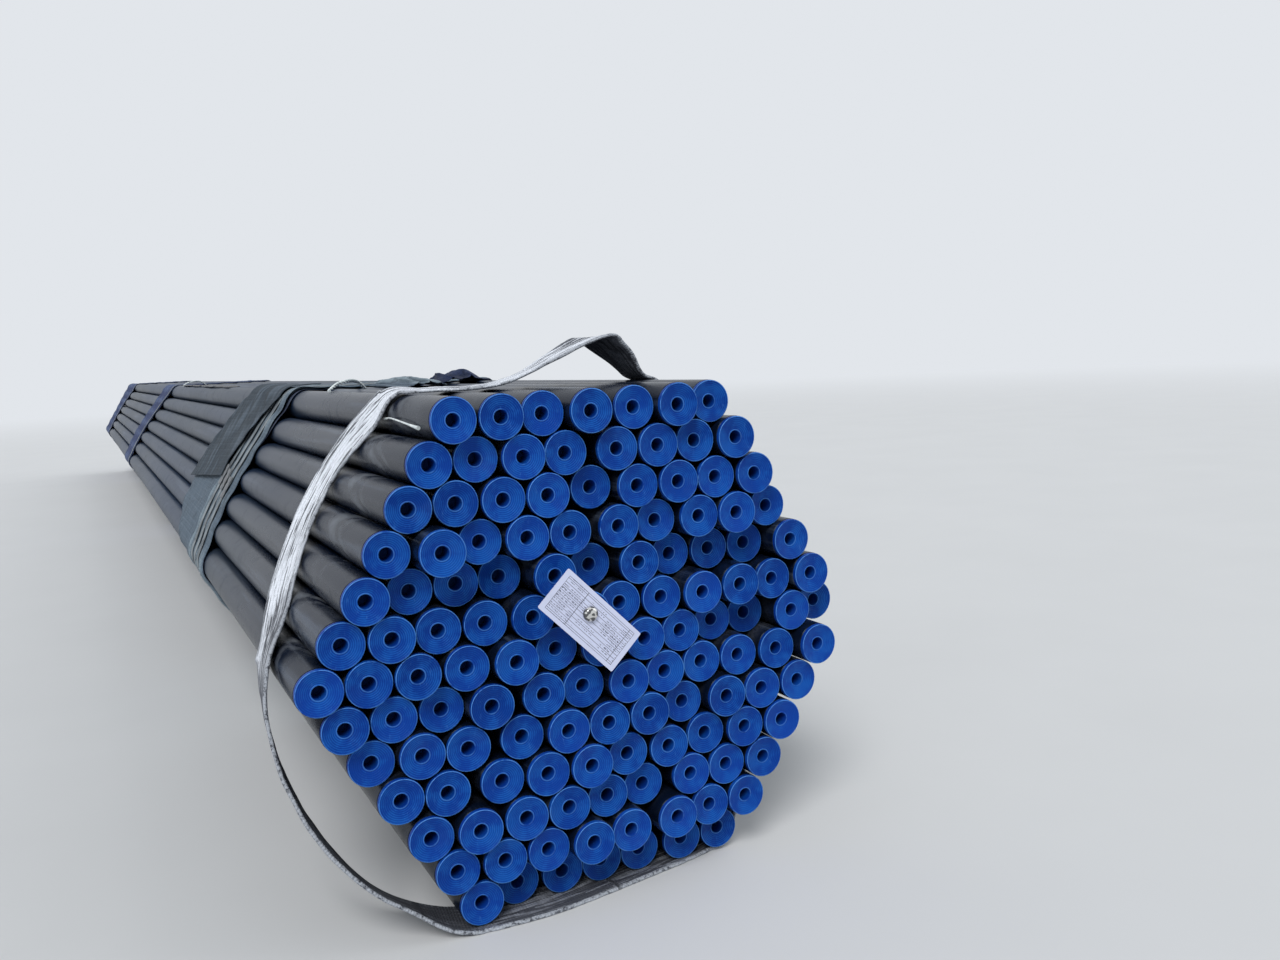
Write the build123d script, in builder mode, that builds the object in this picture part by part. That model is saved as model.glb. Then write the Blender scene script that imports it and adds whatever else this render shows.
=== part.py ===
"""A bundle of plugged steel pipes: wraps, straps, lifting sling and tag (millimetres).

X runs across the bundle, Y along the pipes and Z up. The near end is at -Y. The origin is on
the floor, under the middle of the bundle. Rows are counted from the top and places in a row
from the left, both from one.
"""

from build123d import *
import os
from math import cos, hypot, pi, radians, sin, sqrt
from random import Random

# Pipes: steel tube with an outside diameter of 42.2 and a 3.56 wall, in six metre lengths.
SIDE_PIPE_COUNT = 7
PIPE_DIAMETER = 42.2
PIPE_WALL = 3.56
PIPE_LENGTH = 6000.0
PIPE_END_CHAMFER = 1.2
PIPE_CLEARANCE = 0.4
SPACE_IN_A_ROW = 2.0
ROW_SPACE = 0.8

# How the pipes lie: the gaps that the packing leaves, and how far each pipe has slid.
SHAKE = 0.9
SHAKE_SEED = 11
SETTLING_ROUNDS = 500
OPEN_GAPS = ((2, 4), (4, 5), (8, 4), (9, 3), (10, 2), (11, 6), (12, 5))
OPEN_GAP_RADIUS = 4.6
SLIDE_SEED = 5
SLIDE_SPREAD = 5.0
SLIDE_LIMIT = 12.0
SET_BACK = {
    (4, 2): -24.0,
    (5, 2): 16.0,
    (5, 3): 18.0,
    (5, 4): 26.0,
    (5, 6): 20.0,
    (5, 8): 22.0,
    (5, 9): 20.0,
    (5, 10): 24.0,
    (7, 10): 20.0,
    (7, 11): 28.0,
    (7, 13): 26.0,
}
BOTTOM_ROW_SET_BACK = 24.0

# Plugs: a round flange over the pipe's end with a dished face and a cup in its middle.
PLUG_DIAMETER = 41.8
PLUG_FLANGE = 4.2
PLUG_RIM = 1.5
PLUG_RIM_HEIGHT = 0.5
PLUG_DISH = 3.2
PLUG_CUP_DIAMETER = 12.8
PLUG_CUP_DEPTH = 18.0
PLUG_CUP_TAPER = 0.7
PLUG_LIP = 0.9
PLUG_LIP_HEIGHT = 0.5
PLUG_SKIN = 1.6
PLUG_STEM_LENGTH = 22.0
PLUG_FIT = 0.15

# Cloth wraps and the straps over them. The straps lie in grooves that they press in the cloth.
CLOTH_GAP = 0.4
LINING_THICKNESS = 0.8
LINING_SHOWS = 18.0
LAYER_GAP = 0.3
NEAR_WRAP_START = 706.0
NEAR_WRAP_WIDTH = 530.0
MIDDLE_WRAP_START = 2900.0
MIDDLE_WRAP_WIDTH = 430.0
FAR_WRAP_START = 5080.0
FAR_WRAP_WIDTH = 840.0
STRAP_WIDTH = 19.0
STRAP_THICKNESS = 1.0
STRAP_SIDE_GAP = 0.4
NEAR_STRAPS = (48.0, 92.0, 136.0)
EDGE_STRAPS = (14.0,)
FLAP_TOP_START = 745.0
FLAP_TOP_WIDTH = 300.0
FLAP_LOW_START = 903.0
FLAP_LOW_WIDTH = 350.0
FLAP_FROM_EDGE = 4.0
FLAP_START_AT = 0.445
FLAP_END_AT = 0.331
FLAP_THICKNESS = 1.2

# Strap seals: a pressed sleeve over each strap of the near wrap.
SEAL_LENGTH = 34.0
SEAL_OVERHANG = 2.2
SEAL_THICKNESS = 1.4
SEAL_PLACE = 0.42

# Lifting sling: a loose loop of flat webbing near the near end.
SLING_WIDTH = 58.0
SLING_THICKNESS = 3.6
SLING_GAP = 0.7
SLING_AT_FLOOR = 24.0
SLING_AT_CORNER = 116.0
SLING_AT_TOP = 134.0
SLING_AT_ARCH = 152.0
SLING_BULGE = 106.0
SLING_UNDER_RIGHT = 54.0
SLING_AT_RIGHT = 124.0
SLING_RIGHT_BULGE = 16.0
ARCH_HEIGHT = 45.0
ARCH_LEFT = -62.0
ARCH_TOP = 80.0
ARCH_REACH = 66.0
ARCH_RISE_LEVEL = 20.0
ARCH_FALL_LEVEL = 10.0
ARCH_FALL_REACH = 12.0
ARCH_FOOT_RISE = 4.0
HANG_LEAVES_AT = 160.0
HANG_PULL = 120.0
HANG_SWEEP = 85.0
HANG_TOUCHES_FLOOR = 3.0
HANG_TO_NEAR_END = 22.0

# Tag: a card held by a bolt in the cup of one plug.
TAG_LENGTH = 100.0
TAG_WIDTH = 45.0
TAG_THICKNESS = 0.8
TAG_TURN = -46.0
TAG_CORNER = 1.5
TAG_OFF_CENTRE = (0.0, -6.5)
TAG_PIPE = (6, 6)
TAG_PIPE_SLIDE = -22.0
TAG_GAP = 0.3
BOLT_HEAD_DIAMETER = 14.5
BOLT_HEAD_HEIGHT = 5.0
BOLT_SHANK_LENGTH = 14.0
BOLT_FIT = 0.3

# Loose things on top: two twisted ties, two gathered ends of cloth and a flat strip.
TIE_DIAMETER = 3.0
TIE_BEND = 6.0
TIE_REST = 0.3
TIE_STARTS = (484.0, 2560.0)
TIE_BENDS = ((0, 0, 0), (14, 26, 12), (34, 48, 16), (50, 84, 11), (67, 112, 0))
CLOTH_END_LENGTH = 230.0
CLOTH_END_WIDTH = 64.0
CLOTH_END_X = -22.0
CLOTH_END_HEIGHT = 13.0
CLOTH_END_START = 440.0
BLUE_END_LENGTH = 120.0
BLUE_END_WIDTH = 90.0
BLUE_END_X = 64.0
BLUE_END_HEIGHT = 20.0
BLUE_END_START = 540.0
STRIP_WIDTH = 26.0
STRIP_LENGTH = 1050.0
STRIP_START = 1490.0
STRIP_THICKNESS = 1.2
STRIP_OFF_CORNER = 4.0
CLOTH_END_CORNER = 0.3
CLOTH_END_SLOPE = 24.0

# Sizes that follow from the ones above.
last = SIDE_PIPE_COUNT - 1
pitch = PIPE_DIAMETER + SPACE_IN_A_ROW
reach = PIPE_DIAMETER + PIPE_CLEARANCE
row_step = sqrt(reach**2 - (pitch / 2) ** 2) + ROW_SPACE
pipe_radius = PIPE_DIAMETER / 2
bore_radius = pipe_radius - PIPE_WALL
lift = SLING_THICKNESS + SLING_GAP
axis_height = lift + pipe_radius + last * row_step
wrap_thickness = lift - CLOTH_GAP
near_end = -PIPE_LENGTH / 2
corners = [
    (last * pitch, axis_height),
    (last * pitch / 2, axis_height + last * row_step),
    (-last * pitch / 2, axis_height + last * row_step),
    (-last * pitch, axis_height),
    (-last * pitch / 2, axis_height - last * row_step),
    (last * pitch / 2, axis_height - last * row_step),
]


def rows_of_pipes():
    """The number of pipes in each row, top row first."""
    return [2 * last + 1 - abs(last - row) for row in range(2 * last + 1)]


def lattice():
    """Row, place and axis (x, z from the bundle's middle) of every pipe, before it settles."""
    spots = []
    for row, count in enumerate(rows_of_pipes(), start=1):
        for place in range(1, count + 1):
            x = (place - (count + 1) / 2) * pitch
            z = (last + 1 - row) * row_step
            spots.append((row, place, x, z))
    return spots


def outward_sides(row, place):
    """The outward normals of the bundle's sides that this pipe lies on."""
    count = rows_of_pipes()[row - 1]
    tilt = hypot(row_step, pitch / 2)
    across, up = row_step / tilt, pitch / 2 / tilt
    half = 1 if row <= last + 1 else -1
    sides = []
    if row in (1, 2 * last + 1):
        sides.append((0.0, 1.0 if row == 1 else -1.0))
    if place == 1:
        sides.append((-across, half * up))
    if place == count:
        sides.append((across, half * up))
    return sides


def settled():
    """Axes of the pipes once the chosen gaps are open and no two pipes touch."""
    shake = Random(SHAKE_SEED)
    start = lattice()
    spots = [[x + shake.uniform(-SHAKE, SHAKE), z + shake.uniform(-SHAKE, SHAKE)] for _, _, x, z in start]
    near = pitch * 1.5
    pairs = []
    for i in range(len(start)):
        for j in range(i + 1, len(start)):
            if hypot(start[i][2] - start[j][2], start[i][3] - start[j][3]) < near:
                pairs.append((i, j))
    beside = [[sum(pair) - i for pair in pairs if i in pair] for i in range(len(start))]
    by_place = {(row, place): i for i, (row, place, _, _) in enumerate(start)}
    held = []
    for i, (row, place, x, z) in enumerate(start):
        for normal in outward_sides(row, place):
            held.append((i, normal, normal[0] * x + normal[1] * z))
    gaps = []
    for row, place in OPEN_GAPS:
        left, right = by_place[row, place], by_place[row, place + 1]
        middle = ((start[left][2] + start[right][2]) / 2, start[left][3])
        gaps.append(middle)
    room = pipe_radius + OPEN_GAP_RADIUS
    for _ in range(SETTLING_ROUNDS):
        for i, j in pairs:
            dx, dz = spots[j][0] - spots[i][0], spots[j][1] - spots[i][1]
            apart = hypot(dx, dz)
            if apart < reach:
                push = (reach - apart) / apart / 2
                spots[i][0] -= dx * push
                spots[i][1] -= dz * push
                spots[j][0] += dx * push
                spots[j][1] += dz * push
        for x, z in gaps:
            for spot in spots:
                dx, dz = spot[0] - x, spot[1] - z
                apart = hypot(dx, dz)
                if apart < room:
                    spot[0] += dx * (room / apart - 1) / 4
                    spot[1] += dz * (room / apart - 1) / 4
        for spot, others in zip(spots, beside):
            leans = min(others, key=lambda j: hypot(spots[j][0] - spot[0], spots[j][1] - spot[1]))
            dx, dz = spots[leans][0] - spot[0], spots[leans][1] - spot[1]
            apart = hypot(dx, dz)
            if apart > reach:
                spot[0] += dx * (1 - reach / apart) / 4
                spot[1] += dz * (1 - reach / apart) / 4
        for i, (across, up), away in held:
            miss = away - across * spots[i][0] - up * spots[i][1]
            spots[i][0] += across * miss
            spots[i][1] += up * miss
    return {(row, place): (spots[i][0], spots[i][1]) for i, (row, place, _, _) in enumerate(start)}


def slides():
    """How far each pipe has slid along the bundle, evenly about the middle."""
    luck = Random(SLIDE_SEED)
    slid = {}
    for row, place, _, _ in lattice():
        by = max(-SLIDE_LIMIT, min(SLIDE_LIMIT, luck.gauss(0, SLIDE_SPREAD)))
        if row == 2 * last + 1 and place > 1:
            by = by / 4 + BOTTOM_ROW_SET_BACK
        slid[row, place] = SET_BACK.get((row, place), by)
    carrier = settled_axes[TAG_PIPE]
    for spot, (x, z) in settled_axes.items():
        if hypot(x - carrier[0], z - carrier[1]) < TAG_LENGTH / 2 + 1.5 * pipe_radius:
            slid[spot] = max(slid[spot], TAG_PIPE_SLIDE + 2)
    slid[TAG_PIPE] = TAG_PIPE_SLIDE
    middle = (min(slid.values()) + max(slid.values())) / 2
    return {spot: by - middle for spot, by in slid.items()}


settled_axes = settled()
slid = slides()
closest = min(
    hypot(a[0] - b[0], a[1] - b[1])
    for spot, a in settled_axes.items()
    for other, b in settled_axes.items()
    if spot < other
)
print(f"closest pipes are {closest - PIPE_DIAMETER:.2f} mm apart")


def finish(part, name):
    """Label a finished part and write it."""
    part.label = name
    export_step(part, f"parts/{name}.step")


def outline(y, amount):
    """The bundle's outline at y, through the corner pipes' axes and set off by amount."""
    with BuildSketch(Plane.XZ.offset(-y)) as sketch:
        with BuildLine():
            Polyline(*corners, close=True)
        make_face()
        offset(amount=amount)
    return sketch.sketch


os.makedirs("parts", exist_ok=True)

# One pipe, along +Y from the origin.
with BuildPart() as pipe:
    with BuildSketch(Plane.XZ):
        Circle(pipe_radius)
        Circle(bore_radius, mode=Mode.SUBTRACT)
    extrude(amount=-PIPE_LENGTH)
    chamfer(pipe.edges().filter_by(GeomType.CIRCLE).group_by(SortBy.RADIUS)[-1], PIPE_END_CHAMFER)

# One plug, facing -Y, with the back of its flange at the origin.
cup_radius = PLUG_CUP_DIAMETER / 2
stem_radius = bore_radius - PLUG_FIT
rim_radius = PLUG_DIAMETER / 2 - PLUG_RIM
lip_radius = cup_radius + PLUG_LIP
face = PLUG_FLANGE - PLUG_RIM_HEIGHT
dish = face - PLUG_DISH
cup_foot = cup_radius - PLUG_CUP_TAPER
cup_skin_radius = cup_foot + PLUG_SKIN
plug_profile = [
    (0, -PLUG_CUP_DEPTH),
    (cup_foot, -PLUG_CUP_DEPTH),
    (cup_radius, dish + PLUG_LIP_HEIGHT),
    (lip_radius, dish + PLUG_LIP_HEIGHT),
    (lip_radius + PLUG_LIP, dish),
    (rim_radius, face),
    (rim_radius + PLUG_RIM / 3, PLUG_FLANGE),
    (PLUG_DIAMETER / 2 - PLUG_RIM / 3, PLUG_FLANGE),
    (PLUG_DIAMETER / 2, face),
    (PLUG_DIAMETER / 2, 0),
    (stem_radius, 0),
    (stem_radius, -PLUG_STEM_LENGTH),
    (stem_radius - PLUG_SKIN, -PLUG_STEM_LENGTH),
    (stem_radius - PLUG_SKIN, dish - PLUG_SKIN),
    (cup_radius + PLUG_SKIN, dish - PLUG_SKIN),
    (cup_skin_radius, -PLUG_CUP_DEPTH - PLUG_SKIN),
    (0, -PLUG_CUP_DEPTH - PLUG_SKIN),
]
with BuildPart() as near_plug:
    with BuildSketch(Plane.XY):
        with BuildLine():
            Polyline(*[(r, -out) for r, out in plug_profile], close=True)
        make_face()
    revolve(axis=Axis.Y)
with BuildPart() as far_plug:
    add(near_plug.part.mirror(Plane.XZ))

for row, count in enumerate(rows_of_pipes(), start=1):
    near_places = []
    far_places = []
    for place in range(1, count + 1):
        x, z = settled_axes[row, place]
        y = near_end + slid[row, place]
        near_places.append((x, y, axis_height + z))
        far_places.append((x, y + PIPE_LENGTH, axis_height + z))
    with BuildPart() as pipes_row:
        with Locations(*near_places):
            add(pipe.part)
    finish(pipes_row.part, f"pipes_row_{row:02d}")
    with BuildPart() as near_plugs_row:
        with Locations(*near_places):
            add(near_plug.part)
    finish(near_plugs_row.part, f"near_plugs_row_{row:02d}")
    with BuildPart() as far_plugs_row:
        with Locations(*far_places):
            add(far_plug.part)
    finish(far_plugs_row.part, f"far_plugs_row_{row:02d}")


def wrap(start, width, inner, strap_starts):
    """A cloth wrap from start, as a part, with a groove under each strap."""
    outer = pipe_radius + CLOTH_GAP + wrap_thickness
    grooved = outer - STRAP_THICKNESS - LAYER_GAP
    bands = []
    at = 0.0
    for strap_start in strap_starts:
        bands.append((at, strap_start - STRAP_SIDE_GAP, outer))
        bands.append((strap_start - STRAP_SIDE_GAP, strap_start + STRAP_WIDTH + STRAP_SIDE_GAP, grooved))
        at = strap_start + STRAP_WIDTH + STRAP_SIDE_GAP
    bands.append((at, width, outer))
    with BuildPart() as cloth:
        for low, high, amount in bands:
            extrude(outline(near_end + start + high, amount), amount=high - low)
        extrude(outline(near_end + start + width, inner), amount=width, mode=Mode.SUBTRACT)
    return cloth.part


def straps(start, strap_starts):
    """The straps of one wrap, as a part."""
    outer = pipe_radius + CLOTH_GAP + wrap_thickness
    with BuildPart() as bands:
        for strap_start in strap_starts:
            edge = near_end + start + strap_start + STRAP_WIDTH
            extrude(outline(edge, outer), amount=STRAP_WIDTH)
            extrude(outline(edge, outer - STRAP_THICKNESS), amount=STRAP_WIDTH, mode=Mode.SUBTRACT)
    return bands.part


# Lining of the near wrap, which shows along its near edge.
lining_outer = pipe_radius + CLOTH_GAP + LINING_THICKNESS
lining_end = near_end + NEAR_WRAP_START + NEAR_WRAP_WIDTH - LINING_SHOWS
lining_length = NEAR_WRAP_WIDTH
with BuildPart() as lining:
    extrude(outline(lining_end, lining_outer), amount=lining_length)
    extrude(outline(lining_end, pipe_radius + CLOTH_GAP), amount=lining_length, mode=Mode.SUBTRACT)
finish(lining.part, "near_wrap_lining")

near_wrap = wrap(NEAR_WRAP_START, NEAR_WRAP_WIDTH, lining_outer + LAYER_GAP, NEAR_STRAPS)
finish(near_wrap, "near_wrap")
finish(straps(NEAR_WRAP_START, NEAR_STRAPS), "near_wrap_straps")
middle_wrap = wrap(MIDDLE_WRAP_START, MIDDLE_WRAP_WIDTH, pipe_radius + CLOTH_GAP, EDGE_STRAPS)
finish(middle_wrap, "middle_wrap")
finish(straps(MIDDLE_WRAP_START, EDGE_STRAPS), "middle_wrap_strap")
far_wrap = wrap(FAR_WRAP_START, FAR_WRAP_WIDTH, pipe_radius + CLOTH_GAP, EDGE_STRAPS)
finish(far_wrap, "far_wrap")
finish(straps(FAR_WRAP_START, EDGE_STRAPS), "far_wrap_strap")

# The upper left side as a plane: X from the left corner up the side, Y along the pipes.
side_length = hypot(corners[2][0] - corners[3][0], corners[2][1] - corners[3][1])
up_side = Vector(corners[2][0] - corners[3][0], 0, corners[2][1] - corners[3][1]) / side_length
side_origin = Vector(corners[3][0], near_end, corners[3][1])
side_normal = up_side.cross(Vector(0, 1, 0))
wrap_outer = pipe_radius + CLOTH_GAP + wrap_thickness


def side_plane(amount):
    """The plane of the upper left side, set off by amount from the axes of its pipes."""
    return Plane(origin=side_origin + side_normal * amount, x_dir=up_side, z_dir=side_normal)


# The loose end of the near wrap, laid over its upper left side with one corner cut off.
with BuildPart() as flap:
    with BuildSketch(side_plane(wrap_outer + LAYER_GAP)):
        with BuildLine():
            Polyline(
                (side_length - FLAP_FROM_EDGE, FLAP_TOP_START),
                (side_length * FLAP_START_AT, FLAP_LOW_START),
                (side_length * FLAP_END_AT, FLAP_LOW_START + FLAP_LOW_WIDTH),
                (side_length - FLAP_FROM_EDGE, FLAP_TOP_START + FLAP_TOP_WIDTH),
                close=True,
            )
        make_face()
    extrude(amount=FLAP_THICKNESS)
finish(flap.part, "near_wrap_flap")

# Seals pressed over the straps of the near wrap.
with BuildPart() as seals:
    for strap_start in NEAR_STRAPS:
        middle = NEAR_WRAP_START + strap_start + STRAP_WIDTH / 2
        with BuildSketch(side_plane(wrap_outer + LAYER_GAP)):
            with Locations((side_length * SEAL_PLACE, middle)):
                Rectangle(SEAL_LENGTH, STRAP_WIDTH + 2 * SEAL_OVERHANG)
        extrude(amount=SEAL_THICKNESS)
finish(seals.part, "strap_seals")


# The sling's path round the bundle, as seen along the pipes, from under its middle to the left.
sling_off = pipe_radius + SLING_GAP + SLING_THICKNESS / 2
sling_low = SLING_THICKNESS / 2
sling_high = corners[1][1] + sling_off
side_angle = up_side.get_angle(Vector(1, 0, 0))
top_left = corners[2]
floor_touch = corners[4][0] - HANG_TOUCHES_FLOOR


def about(corner, angle):
    """The point of the sling's path at an angle about a corner pipe's axis."""
    return (corner[0] + sling_off * cos(radians(angle)), corner[1] + sling_off * sin(radians(angle)))


flat_corner_angle = 90 + side_angle
hang_x, hang_z = about(corners[3], HANG_LEAVES_AT)
with BuildLine() as left_half:
    Line((0, sling_low), (floor_touch, sling_low))
    Bezier(
        (floor_touch, sling_low),
        (floor_touch - HANG_SWEEP, sling_low),
        (
            hang_x - HANG_PULL * sin(radians(HANG_LEAVES_AT)),
            hang_z + HANG_PULL * cos(radians(HANG_LEAVES_AT)),
        ),
        (hang_x, hang_z),
    )
    CenterArc(corners[3], sling_off, HANG_LEAVES_AT, flat_corner_angle - HANG_LEAVES_AT)
    Line(about(corners[3], flat_corner_angle), about(top_left, flat_corner_angle))
    CenterArc(top_left, sling_off, flat_corner_angle, 90 - flat_corner_angle)
    Line(about(top_left, 90), (ARCH_LEFT, sling_high))
    Bezier(
        (ARCH_LEFT, sling_high),
        (ARCH_LEFT + ARCH_REACH, sling_high + ARCH_FOOT_RISE),
        (ARCH_TOP - ARCH_RISE_LEVEL, sling_high + ARCH_HEIGHT),
        (ARCH_TOP, sling_high + ARCH_HEIGHT),
    )
with BuildLine() as right_half:
    Line((0, sling_low), (corners[5][0], sling_low))
    CenterArc(corners[5], sling_off, -90, side_angle)
    Line(about(corners[5], side_angle - 90), about(corners[0], side_angle - 90))
    CenterArc(corners[0], sling_off, side_angle - 90, 2 * (90 - side_angle))
    Line(about(corners[0], 90 - side_angle), about(corners[1], 90 - side_angle))
    CenterArc(corners[1], sling_off, 90 - side_angle, side_angle)
    Bezier(
        about(corners[1], 90),
        (corners[1][0] - ARCH_FALL_REACH, sling_high + ARCH_FOOT_RISE),
        (ARCH_TOP + ARCH_FALL_LEVEL, sling_high + ARCH_HEIGHT),
        (ARCH_TOP, sling_high + ARCH_HEIGHT),
    )


def sling_sections(path, drifts, steps, leaves, arrives):
    """Section planes along one half of the sling, square to its middle line."""
    points = []
    for edge, (start, end, bulge), count in zip(path, drifts, steps):
        for i in range(count):
            u = i / count
            at = edge @ u
            eased = u * u * (3 - 2 * u)
            points.append(Vector(at.X, near_end + start + (end - start) * eased + bulge * sin(pi * u), at.Y))
    at = path[-1] @ 1
    points.append(Vector(at.X, near_end + drifts[-1][1], at.Y))
    planes = []
    for i, point in enumerate(points):
        if i == 0:
            along = leaves
        elif i == len(points) - 1:
            along = arrives
        else:
            along = (points[i + 1] - points[i - 1]).normalized()
        across = Vector(0, 1, 0) - along * along.Y
        planes.append(Plane(origin=point, x_dir=across, z_dir=along))
    return planes


left_drifts = [
    (SLING_AT_FLOOR, SLING_AT_FLOOR, 0),
    (SLING_AT_FLOOR, SLING_AT_CORNER, -HANG_TO_NEAR_END),
    (SLING_AT_CORNER, SLING_AT_CORNER, 0),
    (SLING_AT_CORNER, SLING_AT_TOP, SLING_BULGE),
    (SLING_AT_TOP, SLING_AT_TOP, 0),
    (SLING_AT_TOP, SLING_AT_TOP, 0),
    (SLING_AT_TOP, SLING_AT_ARCH, 0),
]
right_drifts = [
    (SLING_AT_FLOOR, SLING_UNDER_RIGHT, 0),
    (SLING_UNDER_RIGHT, SLING_UNDER_RIGHT, 0),
    (SLING_UNDER_RIGHT, SLING_AT_RIGHT, 0),
    (SLING_AT_RIGHT, SLING_AT_RIGHT, 0),
    (SLING_AT_RIGHT, SLING_AT_ARCH, SLING_RIGHT_BULGE),
    (SLING_AT_ARCH, SLING_AT_ARCH, 0),
    (SLING_AT_ARCH, SLING_AT_ARCH, 0),
]
to_the_left = Vector(-1, 0, 0)
to_the_right = Vector(1, 0, 0)
left_steps = [2, 14, 3, 9, 6, 2, 8]
right_steps = [2, 6, 6, 6, 6, 6, 8]
left_planes = sling_sections(left_half.edges(), left_drifts, left_steps, to_the_left, to_the_right)
right_planes = sling_sections(right_half.edges(), right_drifts, right_steps, to_the_right, to_the_left)
with BuildPart() as sling:
    for planes in (left_planes, right_planes):
        for plane in planes:
            with BuildSketch(plane):
                Rectangle(SLING_WIDTH, SLING_THICKNESS)
        loft(ruled=True)
finish(sling.part, "sling")

# The card in front of the plug that carries it, and its bolt.
tag_x, tag_z = settled_axes[TAG_PIPE]
tag_z += axis_height
tag_back = near_end + slid[TAG_PIPE] - PLUG_FLANGE - TAG_GAP
tag_front = tag_back - TAG_THICKNESS
tag_along = Vector(cos(radians(TAG_TURN)), 0, sin(radians(TAG_TURN)))
tag_centre = Vector(tag_x + TAG_OFF_CENTRE[0], tag_back, tag_z + TAG_OFF_CENTRE[1])
shank_radius = cup_foot - BOLT_FIT
with BuildPart() as tag:
    with BuildSketch(Plane(origin=tag_centre, x_dir=tag_along, z_dir=(0, -1, 0))):
        RectangleRounded(TAG_LENGTH, TAG_WIDTH, TAG_CORNER)
    extrude(amount=TAG_THICKNESS)
    with BuildSketch(Plane(origin=(tag_x, tag_back, tag_z), x_dir=(1, 0, 0), z_dir=(0, -1, 0))):
        Circle(shank_radius + BOLT_FIT)
    extrude(amount=TAG_THICKNESS, mode=Mode.SUBTRACT)
finish(tag.part, "tag")

head_radius = BOLT_HEAD_DIAMETER / 2
with BuildPart() as bolt:
    with BuildSketch(Plane(origin=(tag_x, tag_front - TAG_GAP, tag_z), x_dir=(1, 0, 0), z_dir=(0, 0, 1))):
        with BuildLine():
            Polyline((0, -BOLT_HEAD_HEIGHT), (0, BOLT_SHANK_LENGTH), (shank_radius - 1, BOLT_SHANK_LENGTH))
            Polyline(
                (shank_radius - 1, BOLT_SHANK_LENGTH),
                (shank_radius, BOLT_SHANK_LENGTH - 1),
                (shank_radius, 0),
                (head_radius, 0),
                (head_radius, -BOLT_HEAD_HEIGHT * 0.3),
            )
            Bezier(
                (head_radius, -BOLT_HEAD_HEIGHT * 0.3),
                (head_radius * 0.8, -BOLT_HEAD_HEIGHT),
                (head_radius * 0.35, -BOLT_HEAD_HEIGHT),
                (0, -BOLT_HEAD_HEIGHT),
            )
        make_face()
    revolve(axis=Axis((tag_x, 0, tag_z), (0, 1, 0)))
finish(bolt.part, "tag_bolt")

# Loose things that lie on the top row.
top = corners[1][1] + pipe_radius
tie_radius = TIE_DIAMETER / 2
tie_low = top + tie_radius + TIE_REST
with BuildPart() as ties:
    for start in TIE_STARTS:
        y = near_end + start
        bends = [(corners[2][0] + across, y + along, tie_low + up) for across, along, up in TIE_BENDS]
        with BuildLine() as tie_path:
            FilletPolyline(*bends, radius=TIE_BEND)
        with BuildSketch(Plane(origin=tie_path.line @ 0, z_dir=tie_path.line % 0)):
            Circle(tie_radius)
        sweep(path=tie_path.line)
finish(ties.part, "ties")


def gathered_end(start, length, width, height, x):
    """A gathered end of cloth, as a low rounded block on the top row."""
    with BuildPart() as block:
        with BuildSketch(Plane.XY.offset(top + CLOTH_GAP)):
            with Locations((x, near_end + start + length / 2)):
                RectangleRounded(width, length, width * CLOTH_END_CORNER)
        extrude(amount=height, taper=CLOTH_END_SLOPE)
    return block.part


near_wrap_end = gathered_end(CLOTH_END_START, CLOTH_END_LENGTH, CLOTH_END_WIDTH, CLOTH_END_HEIGHT, CLOTH_END_X)
finish(near_wrap_end, "near_wrap_end")
near_lining_end = gathered_end(BLUE_END_START, BLUE_END_LENGTH, BLUE_END_WIDTH, BLUE_END_HEIGHT, BLUE_END_X)
finish(near_lining_end, "near_lining_end")

with BuildPart() as strip:
    with BuildSketch(Plane.XY.offset(top + TIE_REST)):
        with Locations((corners[2][0] + STRIP_OFF_CORNER, near_end + STRIP_START + STRIP_LENGTH / 2)):
            Rectangle(STRIP_WIDTH, STRIP_LENGTH)
    extrude(amount=STRIP_THICKNESS)
finish(strip.part, "top_strip")
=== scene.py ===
"""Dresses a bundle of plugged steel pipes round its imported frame. All lengths are in metres."""

import math

import bmesh
import bpy
import numpy as np
from bpy.props import FloatProperty, FloatVectorProperty, IntProperty, PointerProperty
from mathutils import Matrix, Vector, noise


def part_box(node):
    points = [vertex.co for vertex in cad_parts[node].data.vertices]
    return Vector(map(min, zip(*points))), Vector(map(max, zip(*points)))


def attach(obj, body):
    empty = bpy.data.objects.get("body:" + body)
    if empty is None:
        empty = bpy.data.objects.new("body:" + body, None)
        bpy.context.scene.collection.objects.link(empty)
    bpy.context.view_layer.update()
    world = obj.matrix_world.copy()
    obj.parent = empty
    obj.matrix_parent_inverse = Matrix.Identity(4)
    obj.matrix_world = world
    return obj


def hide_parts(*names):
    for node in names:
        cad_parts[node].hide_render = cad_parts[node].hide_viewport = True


bl_info = {
    "name": "Bundle of Plugged Steel Pipes",
    "version": (1, 0, 0),
    "blender": (4, 5, 0),
    "location": "View3D > Sidebar > Pipe Bundle",
    "description": "Dresses a packed bundle of steel pipes, its wraps, straps, sling and tag",
    "category": "Object",
}

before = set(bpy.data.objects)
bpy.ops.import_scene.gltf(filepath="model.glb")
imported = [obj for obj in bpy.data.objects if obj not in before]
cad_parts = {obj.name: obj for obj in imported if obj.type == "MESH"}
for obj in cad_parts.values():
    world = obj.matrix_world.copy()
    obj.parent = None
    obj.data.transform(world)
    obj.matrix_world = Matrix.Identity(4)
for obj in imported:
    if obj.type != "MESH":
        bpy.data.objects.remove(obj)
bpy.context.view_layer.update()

BODY = "root"


# The frame's pipes: one record each, by row from the top and by place from the left.


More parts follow.
